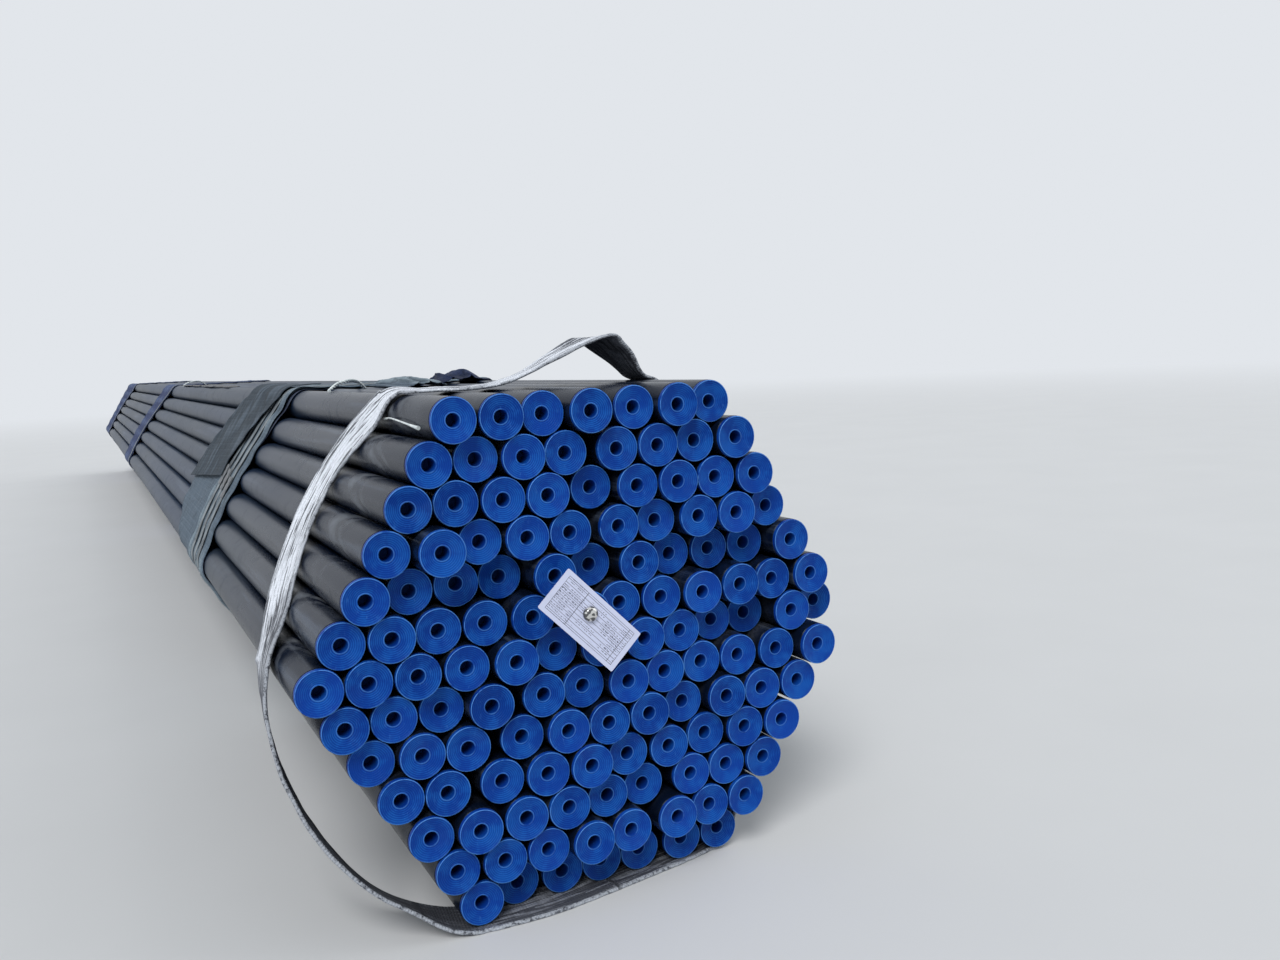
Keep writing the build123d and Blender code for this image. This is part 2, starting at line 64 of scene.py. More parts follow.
def loose_parts(node):
    """The points of each loose part of a CAD node, left to right."""
    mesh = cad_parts[node].data
    points = np.array([v.co for v in mesh.vertices])
    places, same = np.unique(points.round(5), axis=0, return_inverse=True)
    same = same.ravel()
    group = np.arange(len(places))
    edges = same[np.array([e.vertices[:] for e in mesh.edges])]
    while True:
        low = np.minimum(group[edges[:, 0]], group[edges[:, 1]])
        before = group.copy()
        np.minimum.at(group, edges[:, 0], low)
        np.minimum.at(group, edges[:, 1], low)
        group = group[group]
        if (group == before).all():
            break
    parts = [places[group == g] for g in np.unique(group)]
    return sorted(parts, key=lambda part: part[:, 0].mean())


def read_pipes():
    """Axis and ends of every pipe in the frame, as rows of (x, z, near y, far y)."""
    rows = []
    for node in sorted(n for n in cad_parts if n.startswith("pipes_row_")):
        row = []
        for part in loose_parts(node):
            low, high = part.min(0), part.max(0)
            x, z = part[:, 0].mean(), part[:, 2].mean()
            row.append((x, z, low[1], high[1]))
        rows.append(row)
    return rows


PIPES = read_pipes()
MIDDLE_ROW = len(PIPES) // 2
CORNERS = [
    PIPES[-1][0][:2],
    PIPES[MIDDLE_ROW][0][:2],
    PIPES[0][0][:2],
    PIPES[0][-1][:2],
    PIPES[MIDDLE_ROW][-1][:2],
    PIPES[-1][-1][:2],
]
SIDE_GAPS = len(PIPES[0]) - 1
PIPE_R = 0.0211
PIPES_TOP = CORNERS[2][1] + PIPE_R
PIPES_HALF_LENGTH = 3.0
NEAR_END = -PIPES_HALF_LENGTH


# Settings that a user would change.


class BundlePipes(bpy.types.PropertyGroup):
    """Sizes and finish of the pipes."""

    diameter: FloatProperty(
        name="Pipe Diameter",
        description="Outside diameter of a pipe",
        default=0.0422,
        unit="LENGTH",
    )
    wall: FloatProperty(
        name="Pipe Wall", description="Thickness of a pipe's wall", default=0.00356, unit="LENGTH"
    )
    chamfer: FloatProperty(
        name="End Chamfer",
        description="Chamfer on the ends of a pipe",
        default=0.0012,
        unit="LENGTH",
    )
    sides: IntProperty(name="Pipe Sides", description="Faces round a pipe", default=44, min=12)
    colour: FloatVectorProperty(
        name="Lacquer",
        description="Colour of the black lacquer",
        subtype="COLOR",
        default=(0.0030, 0.0064, 0.0170),
    )
    worn: FloatVectorProperty(
        name="Worn Lacquer",
        description="Colour of the lacquer away from the ends",
        subtype="COLOR",
        default=(0.016, 0.030, 0.060),
    )


class BundlePlugs(bpy.types.PropertyGroup):
    """Sizes and finish of the plugs in the pipe ends."""

    diameter: FloatProperty(
        name="Plug Diameter",
        description="Diameter of the plug's flange",
        default=0.0418,
        unit="LENGTH",
    )
    flange: FloatProperty(
        name="Flange",
        description="How far the flange stands out of the pipe",
        default=0.0042,
        unit="LENGTH",
    )
    dish: FloatProperty(
        name="Dish", description="Depth of the dished face", default=0.0032, unit="LENGTH"
    )
    cup: FloatProperty(
        name="Cup Diameter",
        description="Diameter of the cup in the middle",
        default=0.0128,
        unit="LENGTH",
    )
    cup_depth: FloatProperty(
        name="Cup Depth", description="Depth of the cup", default=0.018, unit="LENGTH"
    )
    tip: FloatProperty(
        name="Tip",
        description="How far a plug leans at most",
        default=math.radians(0.9),
        unit="ROTATION",
    )
    sides: IntProperty(name="Plug Sides", description="Faces round a plug", default=36, min=12)
    seed: IntProperty(name="Seed", description="Changes how the plugs are turned", default=4)
    colour: FloatVectorProperty(
        name="Plug Blue",
        description="Colour of the plugs",
        subtype="COLOR",
        default=(0.0008, 0.034, 0.262),
    )


class BundleWraps(bpy.types.PropertyGroup):
    """Sizes and finish of the cloth wraps and their straps."""

    cloth: FloatProperty(
        name="Cloth Thickness",
        description="Thickness of the wrap cloth",
        default=0.0008,
        unit="LENGTH",
    )
    strap_width: FloatProperty(
        name="Strap Width", description="Width of a strap", default=0.019, unit="LENGTH"
    )
    strap_thickness: FloatProperty(
        name="Strap Thickness", description="Thickness of a strap", default=0.001, unit="LENGTH"
    )
    grey: FloatVectorProperty(
        name="Grey Cloth",
        description="Colour of the near wrap",
        subtype="COLOR",
        default=(0.098, 0.132, 0.170),
    )
    dark: FloatVectorProperty(
        name="Dark Cloth",
        description="Colour of the lining",
        subtype="COLOR",
        default=(0.012, 0.018, 0.040),
    )
    blue: FloatVectorProperty(
        name="Blue Cloth",
        description="Colour of the middle and far wraps",
        subtype="COLOR",
        default=(0.018, 0.032, 0.105),
    )
    strap: FloatVectorProperty(
        name="Strap Colour",
        description="Colour of the straps",
        subtype="COLOR",
        default=(0.20, 0.235, 0.255),
    )


class BundleSling(bpy.types.PropertyGroup):
    """Sizes and finish of the lifting sling."""

    width: FloatProperty(
        name="Sling Width", description="Width of the webbing", default=0.058, unit="LENGTH"
    )
    thickness: FloatProperty(
        name="Sling Thickness",
        description="Thickness of the webbing",
        default=0.0036,
        unit="LENGTH",
    )
    arch: FloatProperty(
        name="Arch Height",
        description="How high the sling stands over the pipes",
        default=0.045,
        unit="LENGTH",
    )
    colour: FloatVectorProperty(
        name="Webbing",
        description="Colour of the webbing",
        subtype="COLOR",
        default=(0.90, 0.93, 1.0),
    )
    dirt: FloatVectorProperty(
        name="Webbing Dirt",
        description="Colour of the dirt in the webbing",
        subtype="COLOR",
        default=(0.045, 0.048, 0.06),
    )


class BundleTag(bpy.types.PropertyGroup):
    """Turn, size and finish of the tag."""

    turn: FloatProperty(
        name="Tag Turn",
        description="How the tag is turned",
        default=math.radians(-46),
        unit="ROTATION",
    )
    length: FloatProperty(
        name="Tag Length", description="Length of the tag", default=0.1, unit="LENGTH"
    )
    width: FloatProperty(
        name="Tag Width", description="Width of the tag", default=0.045, unit="LENGTH"
    )
    card: FloatVectorProperty(
        name="Card", description="Colour of the card", subtype="COLOR", default=(0.60, 0.63, 0.80)
    )
    ink: FloatVectorProperty(
        name="Ink",
        description="Colour of the ruled lines",
        subtype="COLOR",
        default=(0.06, 0.06, 0.09),
    )


# Colours of worn places, dust and dirt, and of painted light and shade, as linear light.

OLIVE_FILM, VIOLET_FILM = (0.034, 0.042, 0.048), (0.042, 0.038, 0.060)
# The pale colour for rubbing by the pipes' ends also paints their sheen.
DRAWN_STREAKS, RUBBED_LACQUER_AND_SHEEN = (0.070, 0.092, 0.135), (0.20, 0.215, 0.24)
PIPE_DUST, PLUG_DUST = (0.10, 0.115, 0.14), (0.09, 0.12, 0.18)
# The ring colour is a painted glint on the plugs' turned rings.
PLUG_WORN, PLUG_RING_GLINTS = (0.006, 0.080, 0.36), (0.012, 0.12, 0.46)
# The rim colour is a painted highlight round the plugs' rims and their cups.
PLUG_SCUFFS, PLUG_RIM_HIGHLIGHT = (0.04, 0.15, 0.46), (0.11, 0.31, 0.70)
# The second colour darkens the straps' edges.
STRAP_STAIN, STRAP_EDGE_DARK = (0.060, 0.070, 0.080), (0.10, 0.10, 0.105)
MIRRORED_DARK, RUST = (0.035, 0.038, 0.045), (0.16, 0.075, 0.035)
# The first colour is soil on the webbing, and painted shade where it lies in shade.
WEBBING_SOIL_AND_SHADE, WEBBING_RIM = (0.10, 0.106, 0.128), (0.50, 0.53, 0.58)
WEBBING_BARS = (0.03, 0.033, 0.042)
INNER_PALE = (0.50, 0.53, 0.59), (0.24, 0.26, 0.31)
# The inner face's dark colour is painted shade with soil.
INNER_SHADED_AND_SOILED = (0.050, 0.054, 0.066), (0.17, 0.18, 0.21)
CARD_SMUDGE, CREASE_DUST = (0.40, 0.42, 0.52), (0.25, 0.25, 0.25)
# Paler colours of the cloths, painted on the raised crests of their folds as light.
GREY_CREST_LIGHT, DARK_CREST_LIGHT, BLUE_CREST_LIGHT = (0.26, 0.32, 0.36), (0.07, 0.085, 0.13), (0.10, 0.14, 0.26)
FLAP_GREY, FLAP_CREST_LIGHT = (0.030, 0.042, 0.056), (0.085, 0.11, 0.14)
NAVY, NAVY_CREST_LIGHT = (0.006, 0.011, 0.036), (0.020, 0.032, 0.085)
TIE_PALE, TIE_BRIGHT = (0.66, 0.71, 0.72), (0.88, 0.92, 0.90)
STRIP_BLACK, STRIP_GREY = (0.010, 0.010, 0.012), (0.028, 0.028, 0.032)
DULL_STEEL, BRIGHT_STEEL = (0.19, 0.20, 0.21), (0.80, 0.79, 0.76)
BACKGROUND, SKY = (0.76, 0.79, 0.83), (0.84, 0.92, 1.0)
FLOOR_DARK, FLOOR_LIGHT = (0.60, 0.60, 0.60), (0.64, 0.64, 0.64)


# Materials.


class Maths:
    """A socket of a node tree. Sums and products of it add Math nodes."""

    def __init__(self, shade, socket):
        self.shade = shade
        self.socket = socket

    def _math(self, operation, first, second):
        return self.shade.node("ShaderNodeMath", {"operation": operation}, {0: first, 1: second})

    def __add__(self, other):
        return self._math("ADD", self, other)

    def __sub__(self, other):
        return self._math("SUBTRACT", self, other)

    def __mul__(self, other):
        return self._math("MULTIPLY", self, other)

    def __truediv__(self, other):
        return self._math("DIVIDE", self, other)

    def __radd__(self, other):
        return self._math("ADD", other, self)

    def __rsub__(self, other):
        return self._math("SUBTRACT", other, self)

    def __rmul__(self, other):
        return self._math("MULTIPLY", other, self)

    def __abs__(self):
        return self._math("ABSOLUTE", self, 0.0)


class Shade:
    """A material whose nodes all come from one method."""

    def __init__(self, name):
        self.material = bpy.data.materials.new(name)
        self.material.use_nodes = True
        self.tree = self.material.node_tree
        self.tree.nodes.clear()
        self.shader = self.tree.nodes.new("ShaderNodeBsdfPrincipled")
        self.out = self.tree.nodes.new("ShaderNodeOutputMaterial")
        self.tree.links.new(self.shader.outputs[0], self.out.inputs["Surface"])

    def node(self, kind, settings=None, inputs=None, output=0):
        """Add a node with its settings, and the values or links of its sockets."""
        made = self.tree.nodes.new(kind)
        for key, value in (settings or {}).items():
            setattr(made, key, value)
        for key, value in (inputs or {}).items():
            self.feed(made.inputs[key], value)
        return Maths(self, made.outputs[output])

    def feed(self, socket, value):
        """Link or set one input."""
        if isinstance(value, Maths):
            self.tree.links.new(value.socket, socket)
        elif socket.type == "RGBA" and len(value) == 3:
            socket.default_value = (*value, 1.0)
        else:
            socket.default_value = value

    def place(self, stretch=(1, 1, 1)):
        """Object coordinates, stretched by a factor on each axis."""
        at = self.node("ShaderNodeTexCoord", output="Object")
        return self.node("ShaderNodeVectorMath", {"operation": "MULTIPLY"}, {0: at, 1: stretch})

    def axis(self, vector, index):
        """One number of a vector."""
        return self.node("ShaderNodeSeparateXYZ", inputs={0: vector}, output=index)

    def attribute(self, name):
        """A number stored on the mesh."""
        return self.node("ShaderNodeAttribute", {"attribute_name": name}, output="Fac")

    def noise(self, vector, scale, detail=3.0, roughness=0.55, distortion=0.0):
        """Noise from 0 to 1 at a vector."""
        values = {
            "Vector": vector, "Scale": scale, "Detail": detail, "Roughness": roughness,
            "Distortion": distortion,
        }
        return self.node("ShaderNodeTexNoise", inputs=values)

    def scaled_uv(self, along):
        """The piece's own UV, in metres, stretched along the piece."""
        uv = self.node("ShaderNodeTexCoord", output="UV")
        by = (1.0, along, 1.0)
        return self.node("ShaderNodeVectorMath", {"operation": "MULTIPLY"}, {0: uv, 1: by})

    def step(self, value, low, high, first=0.0, last=1.0):
        """A smooth step of a value from low to high."""
        inputs = {0: value, 1: low, 2: high, 3: first, 4: last}
        return self.node("ShaderNodeMapRange", {"interpolation_type": "SMOOTHSTEP"}, inputs)

    def wave(self, value, cycles):
        """A sine from 0 to 1 with so many cycles a unit."""
        turned = self.node(
            "ShaderNodeMath", {"operation": "SINE"}, {0: value * (cycles * 2 * math.pi)}
        )
        return turned * 0.5 + 0.5

    def mix(self, factor, first, second):
        """Two colours mixed."""
        inputs = {0: factor, 6: first, 7: second}
        return self.node("ShaderNodeMix", {"data_type": "RGBA"}, inputs, output=2)

    def bump(self, height, distance, strength=1.0):
        """A normal from a height, a depth in metres."""
        return self.node(
            "ShaderNodeBump", inputs={"Height": height, "Distance": distance, "Strength": strength}
        )

    def set(self, specular=0.5, tint=(1.0, 1.0, 1.0), **values):
        """Set or link inputs of the shader, by name with underscores."""
        self.shader.inputs["Specular IOR Level"].default_value = specular
        self.shader.inputs["Specular Tint"].default_value = (*tint, 1.0)
        for name, value in values.items():
            self.feed(self.shader.inputs[name.replace("_", " ").title()], value)
        return self.material


def scaled(colour, by):
    """A colour made lighter or darker."""
    return tuple(min(1.0, c * by) for c in colour)


def lacquer_material(settings):
    """Black lacquer: glossy, greyer away from the ends, and pale by the ends, where it is worn by
    rubbing and where a painted sheen lies on the side that faces the light.
    """
    shade = Shade("black_lacquered_steel")
    at = shade.place()
    luck = shade.attribute("luck")
    facing = shade.attribute("facing")
    from_end = PIPES_HALF_LENGTH - abs(shade.axis(at, 1))
    length_wise = shade.noise(shade.place((1, 0.035, 1)), 60.0, 4.0, 0.6)
    blotch = shade.noise(shade.place((1, 0.25, 1)), 9.0, 3.0, 0.55)
    tint = shade.noise(shade.place((1, 0.12, 1)), 5.0, 2.0, 0.5)
    away = shade.step(from_end + blotch * 0.35, 0.25, 1.3)
    grey = shade.mix(away, settings.colour, settings.worn)
    olive = shade.mix(shade.step(tint, 0.42, 0.6) * away * 0.55, grey, OLIVE_FILM)
    violet = shade.mix(shade.step(tint + luck * 0.12, 0.36, 0.28) * away * 0.6, olive, VIOLET_FILM)
    streaked = shade.mix(shade.step(length_wise, 0.54, 0.72) * 0.5, violet, DRAWN_STREAKS)
    outline = shade.noise(shade.place((1.0, 0.35, 1.0)), 26.0, 3.0, 0.55)
    # Pale curved marks by the ends, laid only where the surface faces up and to the left, towards the
    # light: a painted sheen.
    arc_at = from_end - 0.012 - facing * 0.085 - outline * 0.055 - luck * 0.02
    sheen_arcs = shade.step(abs(arc_at), 0.024, 0.001) * shade.step(facing, 0.0, 0.45)
    second = shade.step(abs(arc_at + 0.038), 0.012, 0.002) * shade.step(facing, 0.2, 0.6)
    patch = shade.step(shade.noise(shade.place((1, 0.5, 1)), 13.0, 3.0), 0.5, 0.64)
    near = shade.step(from_end, 0.22, 0.09) * shade.step(from_end, 0.0, 0.02)
    grain = shade.noise(shade.place((1, 0.4, 1)), 420.0, 2.0)
    broken = shade.step(shade.noise(shade.place((1, 0.6, 1)), 60.0, 4.0, 0.65), 0.34, 0.62)
    # The painted sheen by the ends, with patches of rubbing near them.
    rubs_and_sheen = (
        ((sheen_arcs + second * 0.5) * broken * 0.8 + patch * near * 0.35 * grain)
        * shade.step(luck, 0.1, 0.6, 0.35, 1.0)
    )
    rubbed_and_sheen = shade.mix(rubs_and_sheen * 0.85, streaked, RUBBED_LACQUER_AND_SHEEN)
    dust = shade.step(shade.noise(at, 36.0, 4.0, 0.65), 0.5, 0.8) * 0.08
    colour = shade.mix(dust, rubbed_and_sheen, PIPE_DUST)
    fine = shade.noise(at, 900.0, 2.0)
    height = length_wise * 0.5 + fine * 0.25 + rubs_and_sheen * 0.4
    roughness = 0.20 + away * 0.13 + blotch * 0.08 + rubs_and_sheen * 0.25 + dust
    bumped = shade.bump(height, 0.00022, 0.5)
    return shade.set(0.10, (0.62, 0.80, 1.0), base_color=colour, roughness=roughness, normal=bumped)


def plug_material(settings):
    """Blue plastic with turned rings, dull patches, scuffs and a little dust; painted glints on the
    rings, painted highlights round the rims and the cup's mouth, and painted shade in the cup.
    """
    shade = Shade("blue_plastic")
    at = shade.place()
    luck = shade.attribute("luck")
    out = shade.attribute("ring")
    blue = settings.colour
    lucky = shade.mix(luck, scaled(blue, 0.80), (blue[0] + 0.003, blue[1] * 1.22, blue[2] * 1.13))
    cloud = shade.noise(at, 55.0, 4.0, 0.6)
    worn = shade.mix(shade.step(cloud, 0.42, 0.68) * 0.60, lucky, PLUG_WORN)
    turned_marks = shade.step(shade.wave(out + cloud * 0.0004, 560.0), 0.50, 0.95)
    # The turned rings are painted paler in patches: painted glints on them.
    ring_glinted = shade.mix(turned_marks * shade.step(cloud, 0.35, 0.6, 0.15, 0.65), worn, PLUG_RING_GLINTS)
    scratch = shade.noise(shade.place((1.0, 1.0, 0.18)), 520.0, 3.0, 0.7, 0.6)
    scuffed = shade.mix(shade.step(scratch, 0.60, 0.74) * 0.45, ring_glinted, PLUG_SCUFFS)
    ragged = shade.step(shade.noise(at, 85.0, 3.0, 0.6), 0.30, 0.52)
    # Painted highlights: thin pale lines round the rim and round the cup's mouth, broken up.
    rim = shade.step(out, 0.0199, 0.0202) * shade.step(out, 0.0208, 0.0205)
    lip_highlight = shade.step(out, 0.0063, 0.0067) * shade.step(out, 0.0077, 0.0073)
    rim_highlighted = shade.mix((rim * 0.70 + lip_highlight * 0.34) * ragged, scuffed, PLUG_RIM_HIGHLIGHT)
    dust = shade.step(shade.noise(at, 24.0, 5.0, 0.62), 0.52, 0.8) * 0.08
    dusty = shade.mix(dust, rim_highlighted, PLUG_DUST)
    # Painted shade down in the cup.
    cup_shade = shade.step(out, 0.0064, 0.0056) * 0.8
    colour = shade.mix(cup_shade, dusty, scaled(blue, 0.22))
    height = turned_marks * 0.7 + scratch * 0.6 + cloud * 0.8
    roughness = 0.30 + cloud * 0.16 + dust * 0.8
    bumped = shade.bump(height, 0.00018, 0.7)
    return shade.set(0.17, (0.45, 0.72, 1.0), base_color=colour, roughness=roughness, normal=bumped)


def woven_material(name, colour, crest_light, tape=0.0024, dirt=0.35):
    """Cloth woven from flat tapes, with painted light on the raised crests of its folds, painted
    shade between the tapes, and stains. It reads the piece's UV.
    """
    shade = Shade(name)
    at = shade.place()
    uv = shade.node("ShaderNodeTexCoord", output="UV")
    across, along = shade.axis(uv, 0), shade.axis(uv, 1)
    warp, weft = shade.wave(across, 0.5 / tape), shade.wave(along, 0.5 / tape)
    crossing = shade.wave(across, 0.25 / tape) * shade.wave(along, 0.25 / tape) * 2.0
    over = shade.step(crossing, 0.35, 0.65)
    weave = over * warp + (1.0 - over) * weft
    cloud = shade.noise(at, 13.0, 4.0, 0.6)
    tape_luck = shade.noise(shade.scaled_uv(0.02), 1.0 / tape, 1.0)
    shaded = shade.mix(tape_luck, scaled(colour, 0.72), scaled(colour, 1.3))
    # Painted light: paler where the cloth stands higher, on the crests of its folds, broken up by
    # noise.
    folded = shade.attribute("crest")
    pale = shade.mix(shade.step(folded + cloud * 0.5, 0.45, 1.05), shaded, crest_light)
    stain = shade.step(shade.noise(at, 34.0, 5.0, 0.65, 0.7), 0.53, 0.64) * dirt
    stained = shade.mix(stain, pale, scaled(colour, 0.34))
    # Painted shade in the hollows between the woven tapes.
    weave_hollow_shade = shade.mix((1.0 - weave) * 0.35, stained, scaled(colour, 0.4))
    height = weave * 0.7 + cloud * 0.6 + shade.noise(at, 160.0, 3.0) * 0.4
    roughness = 0.60 + cloud * 0.22 - weave * 0.06
    return shade.set(
        0.22,
        (0.8, 0.9, 1.0),
        base_color=weave_hollow_shade,
        roughness=roughness,
        normal=shade.bump(height, 0.0005, 0.7),
    )


def strap_material(settings):
    """Pale strapping with fine ribs along it, darker along its edges."""
    shade = Shade("strapping")
    at = shade.place()
    uv = shade.node("ShaderNodeTexCoord", output="UV")
    across, along = shade.axis(uv, 0), shade.axis(uv, 1)
    rib = shade.wave(across, 900.0)
    cloud = shade.noise(at, 28.0, 4.0, 0.62)
    edge = shade.step(abs(across), 0.0072, 0.0095)
    ribbed = shade.mix(rib * 0.35, settings.strap, scaled(settings.strap, 0.72))
    stained = shade.mix(shade.step(cloud, 0.44, 0.60) * 0.80, ribbed, STRAP_STAIN)
    # Darker along the edges.
    colour = shade.mix(edge * 0.45, stained, STRAP_EDGE_DARK)
    height = (
        rib * 0.5 + shade.noise(shade.place(), 240.0, 2.0) * 0.5 + shade.wave(along, 330.0) * 0.2
    )
    return shade.set(
        base_color=colour, roughness=0.38 + cloud * 0.25, normal=shade.bump(height, 0.00025, 0.6)
    )


def steel_material(name, colour, rough, rust, patches=0.0, bare=1.0):
    """Steel with light scratches, a little rust and patches that mirror something dark."""
    shade = Shade(name)
    at = shade.place()
    brushed = shade.noise(shade.place((1.0, 1.0, 0.08)), 900.0, 3.0, 0.6)
    cloud = shade.noise(at, 90.0, 4.0, 0.6)
    spots = shade.step(cloud, 0.56, 0.72) * rust
    base = shade.mix(brushed * 0.5, colour, scaled(colour, 0.72))
    mirrored = shade.step(shade.noise(shade.place((1.0, 1.0, 1.4)), 210.0, 1.0, 0.4), 0.46, 0.52)
    patched = shade.mix(mirrored * patches, base, MIRRORED_DARK)
    tinted = shade.mix(spots, patched, RUST)
    metal = (1.0 - spots * 0.8) * bare
    roughness = rough + brushed * 0.12 + spots * 0.5
    height = brushed * 0.5 + spots * 0.5
    bumped = shade.bump(height, 0.00008, 0.5)
    return shade.set(
        0.5 * bare, base_color=tinted, metallic=metal, roughness=roughness, normal=bumped
    )


def webbing_material(settings):
    """Dirty webbing: fine ribs, ply lines along it, dark streaks that cluster, grey edges, and soil
    with painted shade where the worn value is high.
    """
    shade = Shade("webbing")
    at = shade.place()
    uv = shade.node("ShaderNodeTexCoord", output="UV")
    across, along = shade.axis(uv, 0), shade.axis(uv, 1)
    inner = shade.attribute("inner")
    # The stored worn value is soil and painted shade together.
    worn = shade.attribute("worn")
    ribs = shade.wave(along + shade.wave(across, 170.0) * 0.0010, 330.0)
    ply = shade.wave(across, 138.0)
    ladder = shade.wave(along, 70.0)
    streaks = shade.noise(shade.scaled_uv(0.075), 230.0, 4.0, 0.6, 0.4)
    cluster = shade.noise(shade.scaled_uv(0.22), 34.0, 3.0, 0.55)
    cloud = shade.noise(at, 15.0, 5.0, 0.62)
    mottle = shade.noise(at, 260.0, 4.0, 0.65)
    edge = shade.step(abs(across), 0.020, 0.029)
    selvedge = shade.step(abs(across), 0.0245, 0.0268)
    # Greyer with soil, and with painted shade where the worn value is high.
    soiled_and_shaded = shade.step(cloud + worn * 0.42 + edge * 0.10, 0.56, 1.0)
    line = shade.step(streaks + cluster * 0.46 + edge * 0.06 + worn * 0.10, 0.775, 0.825)
    base = shade.mix(ribs * 0.12, settings.colour, scaled(settings.colour, 0.66))
    # More dark mottling where the worn value is high, partly painted shade.
    mottled = shade.mix(
        shade.step(mottle, 0.46, 0.62) * (0.22 + worn * 0.35), base, scaled(settings.colour, 0.45)
    )
    greyed = shade.mix(soiled_and_shaded * 0.84, mottled, WEBBING_SOIL_AND_SHADE)
    bars_at = shade.node("ShaderNodeCombineXYZ", inputs={0: along, 1: across * 0.12, 2: 0.7})
    bars = shade.step(shade.noise(bars_at, 75.0, 2.0, 0.5), 0.60, 0.68)
    pale = shade.mix(shade.step(cloud + mottle * 0.3, 0.55, 0.80), *INNER_PALE)
    dark = shade.mix(shade.step(cloud + mottle * 0.5, 0.58, 0.86), *INNER_SHADED_AND_SOILED)
    # The inner face darkens where the worn value is high: painted shade with soil.
    under = shade.mix(shade.step(worn, 0.35, 0.9), pale, dark)
    rungs = shade.mix(shade.step(ladder, 0.6, 0.95) * 0.22 + bars * 0.75, under, WEBBING_BARS)
    faced = shade.mix(inner, greyed, rungs)
    streaked = shade.mix(line * 0.90, faced, settings.dirt)
    plied = shade.mix(shade.step(ply, 0.75, 1.0) * (1.0 - inner) * 0.20, streaked, settings.dirt)
    colour = shade.mix(selvedge * shade.step(mottle, 0.34, 0.54) * 0.7, plied, WEBBING_RIM)
    height = ribs * 0.6 + ply * 0.6 + line * -0.5 + mottle * 0.8
    return shade.set(
        0.3,
        base_color=colour,
        roughness=0.72 + cloud * 0.15,
        normal=shade.bump(height, 0.0008, 0.9),
    )


def card_material(settings):
    """White card with a ruled form, faint entries and finger marks."""
    shade = Shade("card")
    low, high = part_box("tag")
    middle = (low + high) / 2
    at = shade.node("ShaderNodeTexCoord", output="Object")
    moved = shade.node("ShaderNodeVectorMath", {"operation": "SUBTRACT"}, {0: at, 1: middle})
    x, z = shade.axis(moved, 0), shade.axis(moved, 2)
    cos, sin = math.cos(settings.turn), math.sin(settings.turn)
    u = x * cos + z * sin
    v = z * cos - x * sin
    half_long, half_wide = settings.length / 2 - 0.0055, settings.width / 2 - 0.0042

    def within(outer, inner):
        """1 inside the printed frame, with soft edges that far out and in from its line."""
        across = shade.step(abs(u), half_long + outer, half_long + inner)
        return across * shade.step(abs(v), half_wide + outer, half_wide + inner)

    inside = within(0.0002, -0.0002)
    frame_line = inside - within(-0.0002, -0.0006)
    rows = 9
    spacing = 2 * half_wide / rows
    ruled = shade.step(shade.wave(v + half_wide - spacing / 4, 1.0 / spacing), 0.93, 0.985) * inside
    column = shade.step(abs(u + half_long * 0.42), 0.0005, 0.0002) * inside
    column_two = shade.step(abs(u - half_long * 0.86), 0.0005, 0.0002) * inside
    in_row = shade.step(shade.wave(v + half_wide + spacing / 4, 1.0 / spacing), 0.62, 0.80)
    floor_of = shade.node("ShaderNodeMath", {"operation": "FLOOR"}, {0: (v + half_wide) / spacing})
    entry_at = shade.node("ShaderNodeCombineXYZ", inputs={0: u, 1: floor_of * 0.37, 2: 0.3})
    marks = shade.step(shade.noise(entry_at, 520.0, 2.0, 0.7), 0.47, 0.53) * in_row
    filled = shade.step(shade.noise(entry_at, 38.0, 1.0), 0.50, 0.56) * inside
    ink = ruled * 0.75 + frame_line * 0.9 + column * 0.8 + column_two * 0.7 + marks * filled * 0.90
    smudge = shade.step(shade.noise(at, 60.0, 4.0, 0.6), 0.5, 0.8)
    paper = shade.mix(smudge * 0.30, settings.card, CARD_SMUDGE)
    lit = shade.mix(shade.step(ink, 0.0, 1.0), paper, settings.ink)
    fibre = shade.noise(at, 1500.0, 2.0)
    return shade.set(
        base_color=lit,
        roughness=0.48 + smudge * 0.2,
        normal=shade.bump(fibre + smudge, 0.0001, 0.4),
    )


def plain_plastic(name, colour, other, rough):
    """Thin plastic with cloudy colour and fine creases."""
    shade = Shade(name)
    at = shade.place()
    cloud = shade.noise(at, 70.0, 4.0, 0.6)
    crease = shade.noise(shade.place((1.0, 0.3, 1.0)), 260.0, 4.0, 0.65)
    mixed = shade.mix(shade.step(cloud, 0.4, 0.7), colour, other)
    dusty = shade.mix(shade.step(crease, 0.6, 0.75) * 0.3, mixed, CREASE_DUST)
    return shade.set(
        base_color=dusty, roughness=rough + cloud * 0.15, normal=shade.bump(crease, 0.0004, 0.6)
    )


# Meshes.


def new_piece(name, points, faces, material, uv=None, values=None, sharp=False):
    """A mesh piece from points and faces, with its material, UV map and stored numbers."""
    mesh = bpy.data.meshes.new(name)
    mesh.from_pydata([tuple(p) for p in points], [], [tuple(f) for f in faces])
    mesh.polygons.foreach_set("use_smooth", [not sharp] * len(mesh.polygons))
    if uv is not None:
        layer = mesh.uv_layers.new(name="UVMap")
        corner = np.zeros(len(mesh.loops), int)
        mesh.loops.foreach_get("vertex_index", corner)
        layer.data.foreach_set("uv", np.asarray(uv, float)[corner].ravel())
    for key, numbers in (values or {}).items():
        stored = mesh.attributes.new(key, "FLOAT", "POINT")
        stored.data.foreach_set("value", np.asarray(numbers, np.float32))
    mesh.update()
    piece = bpy.data.objects.new(name, mesh)
    bpy.context.scene.collection.objects.link(piece)
    if material is not None:
        mesh.materials.append(material)
    return piece


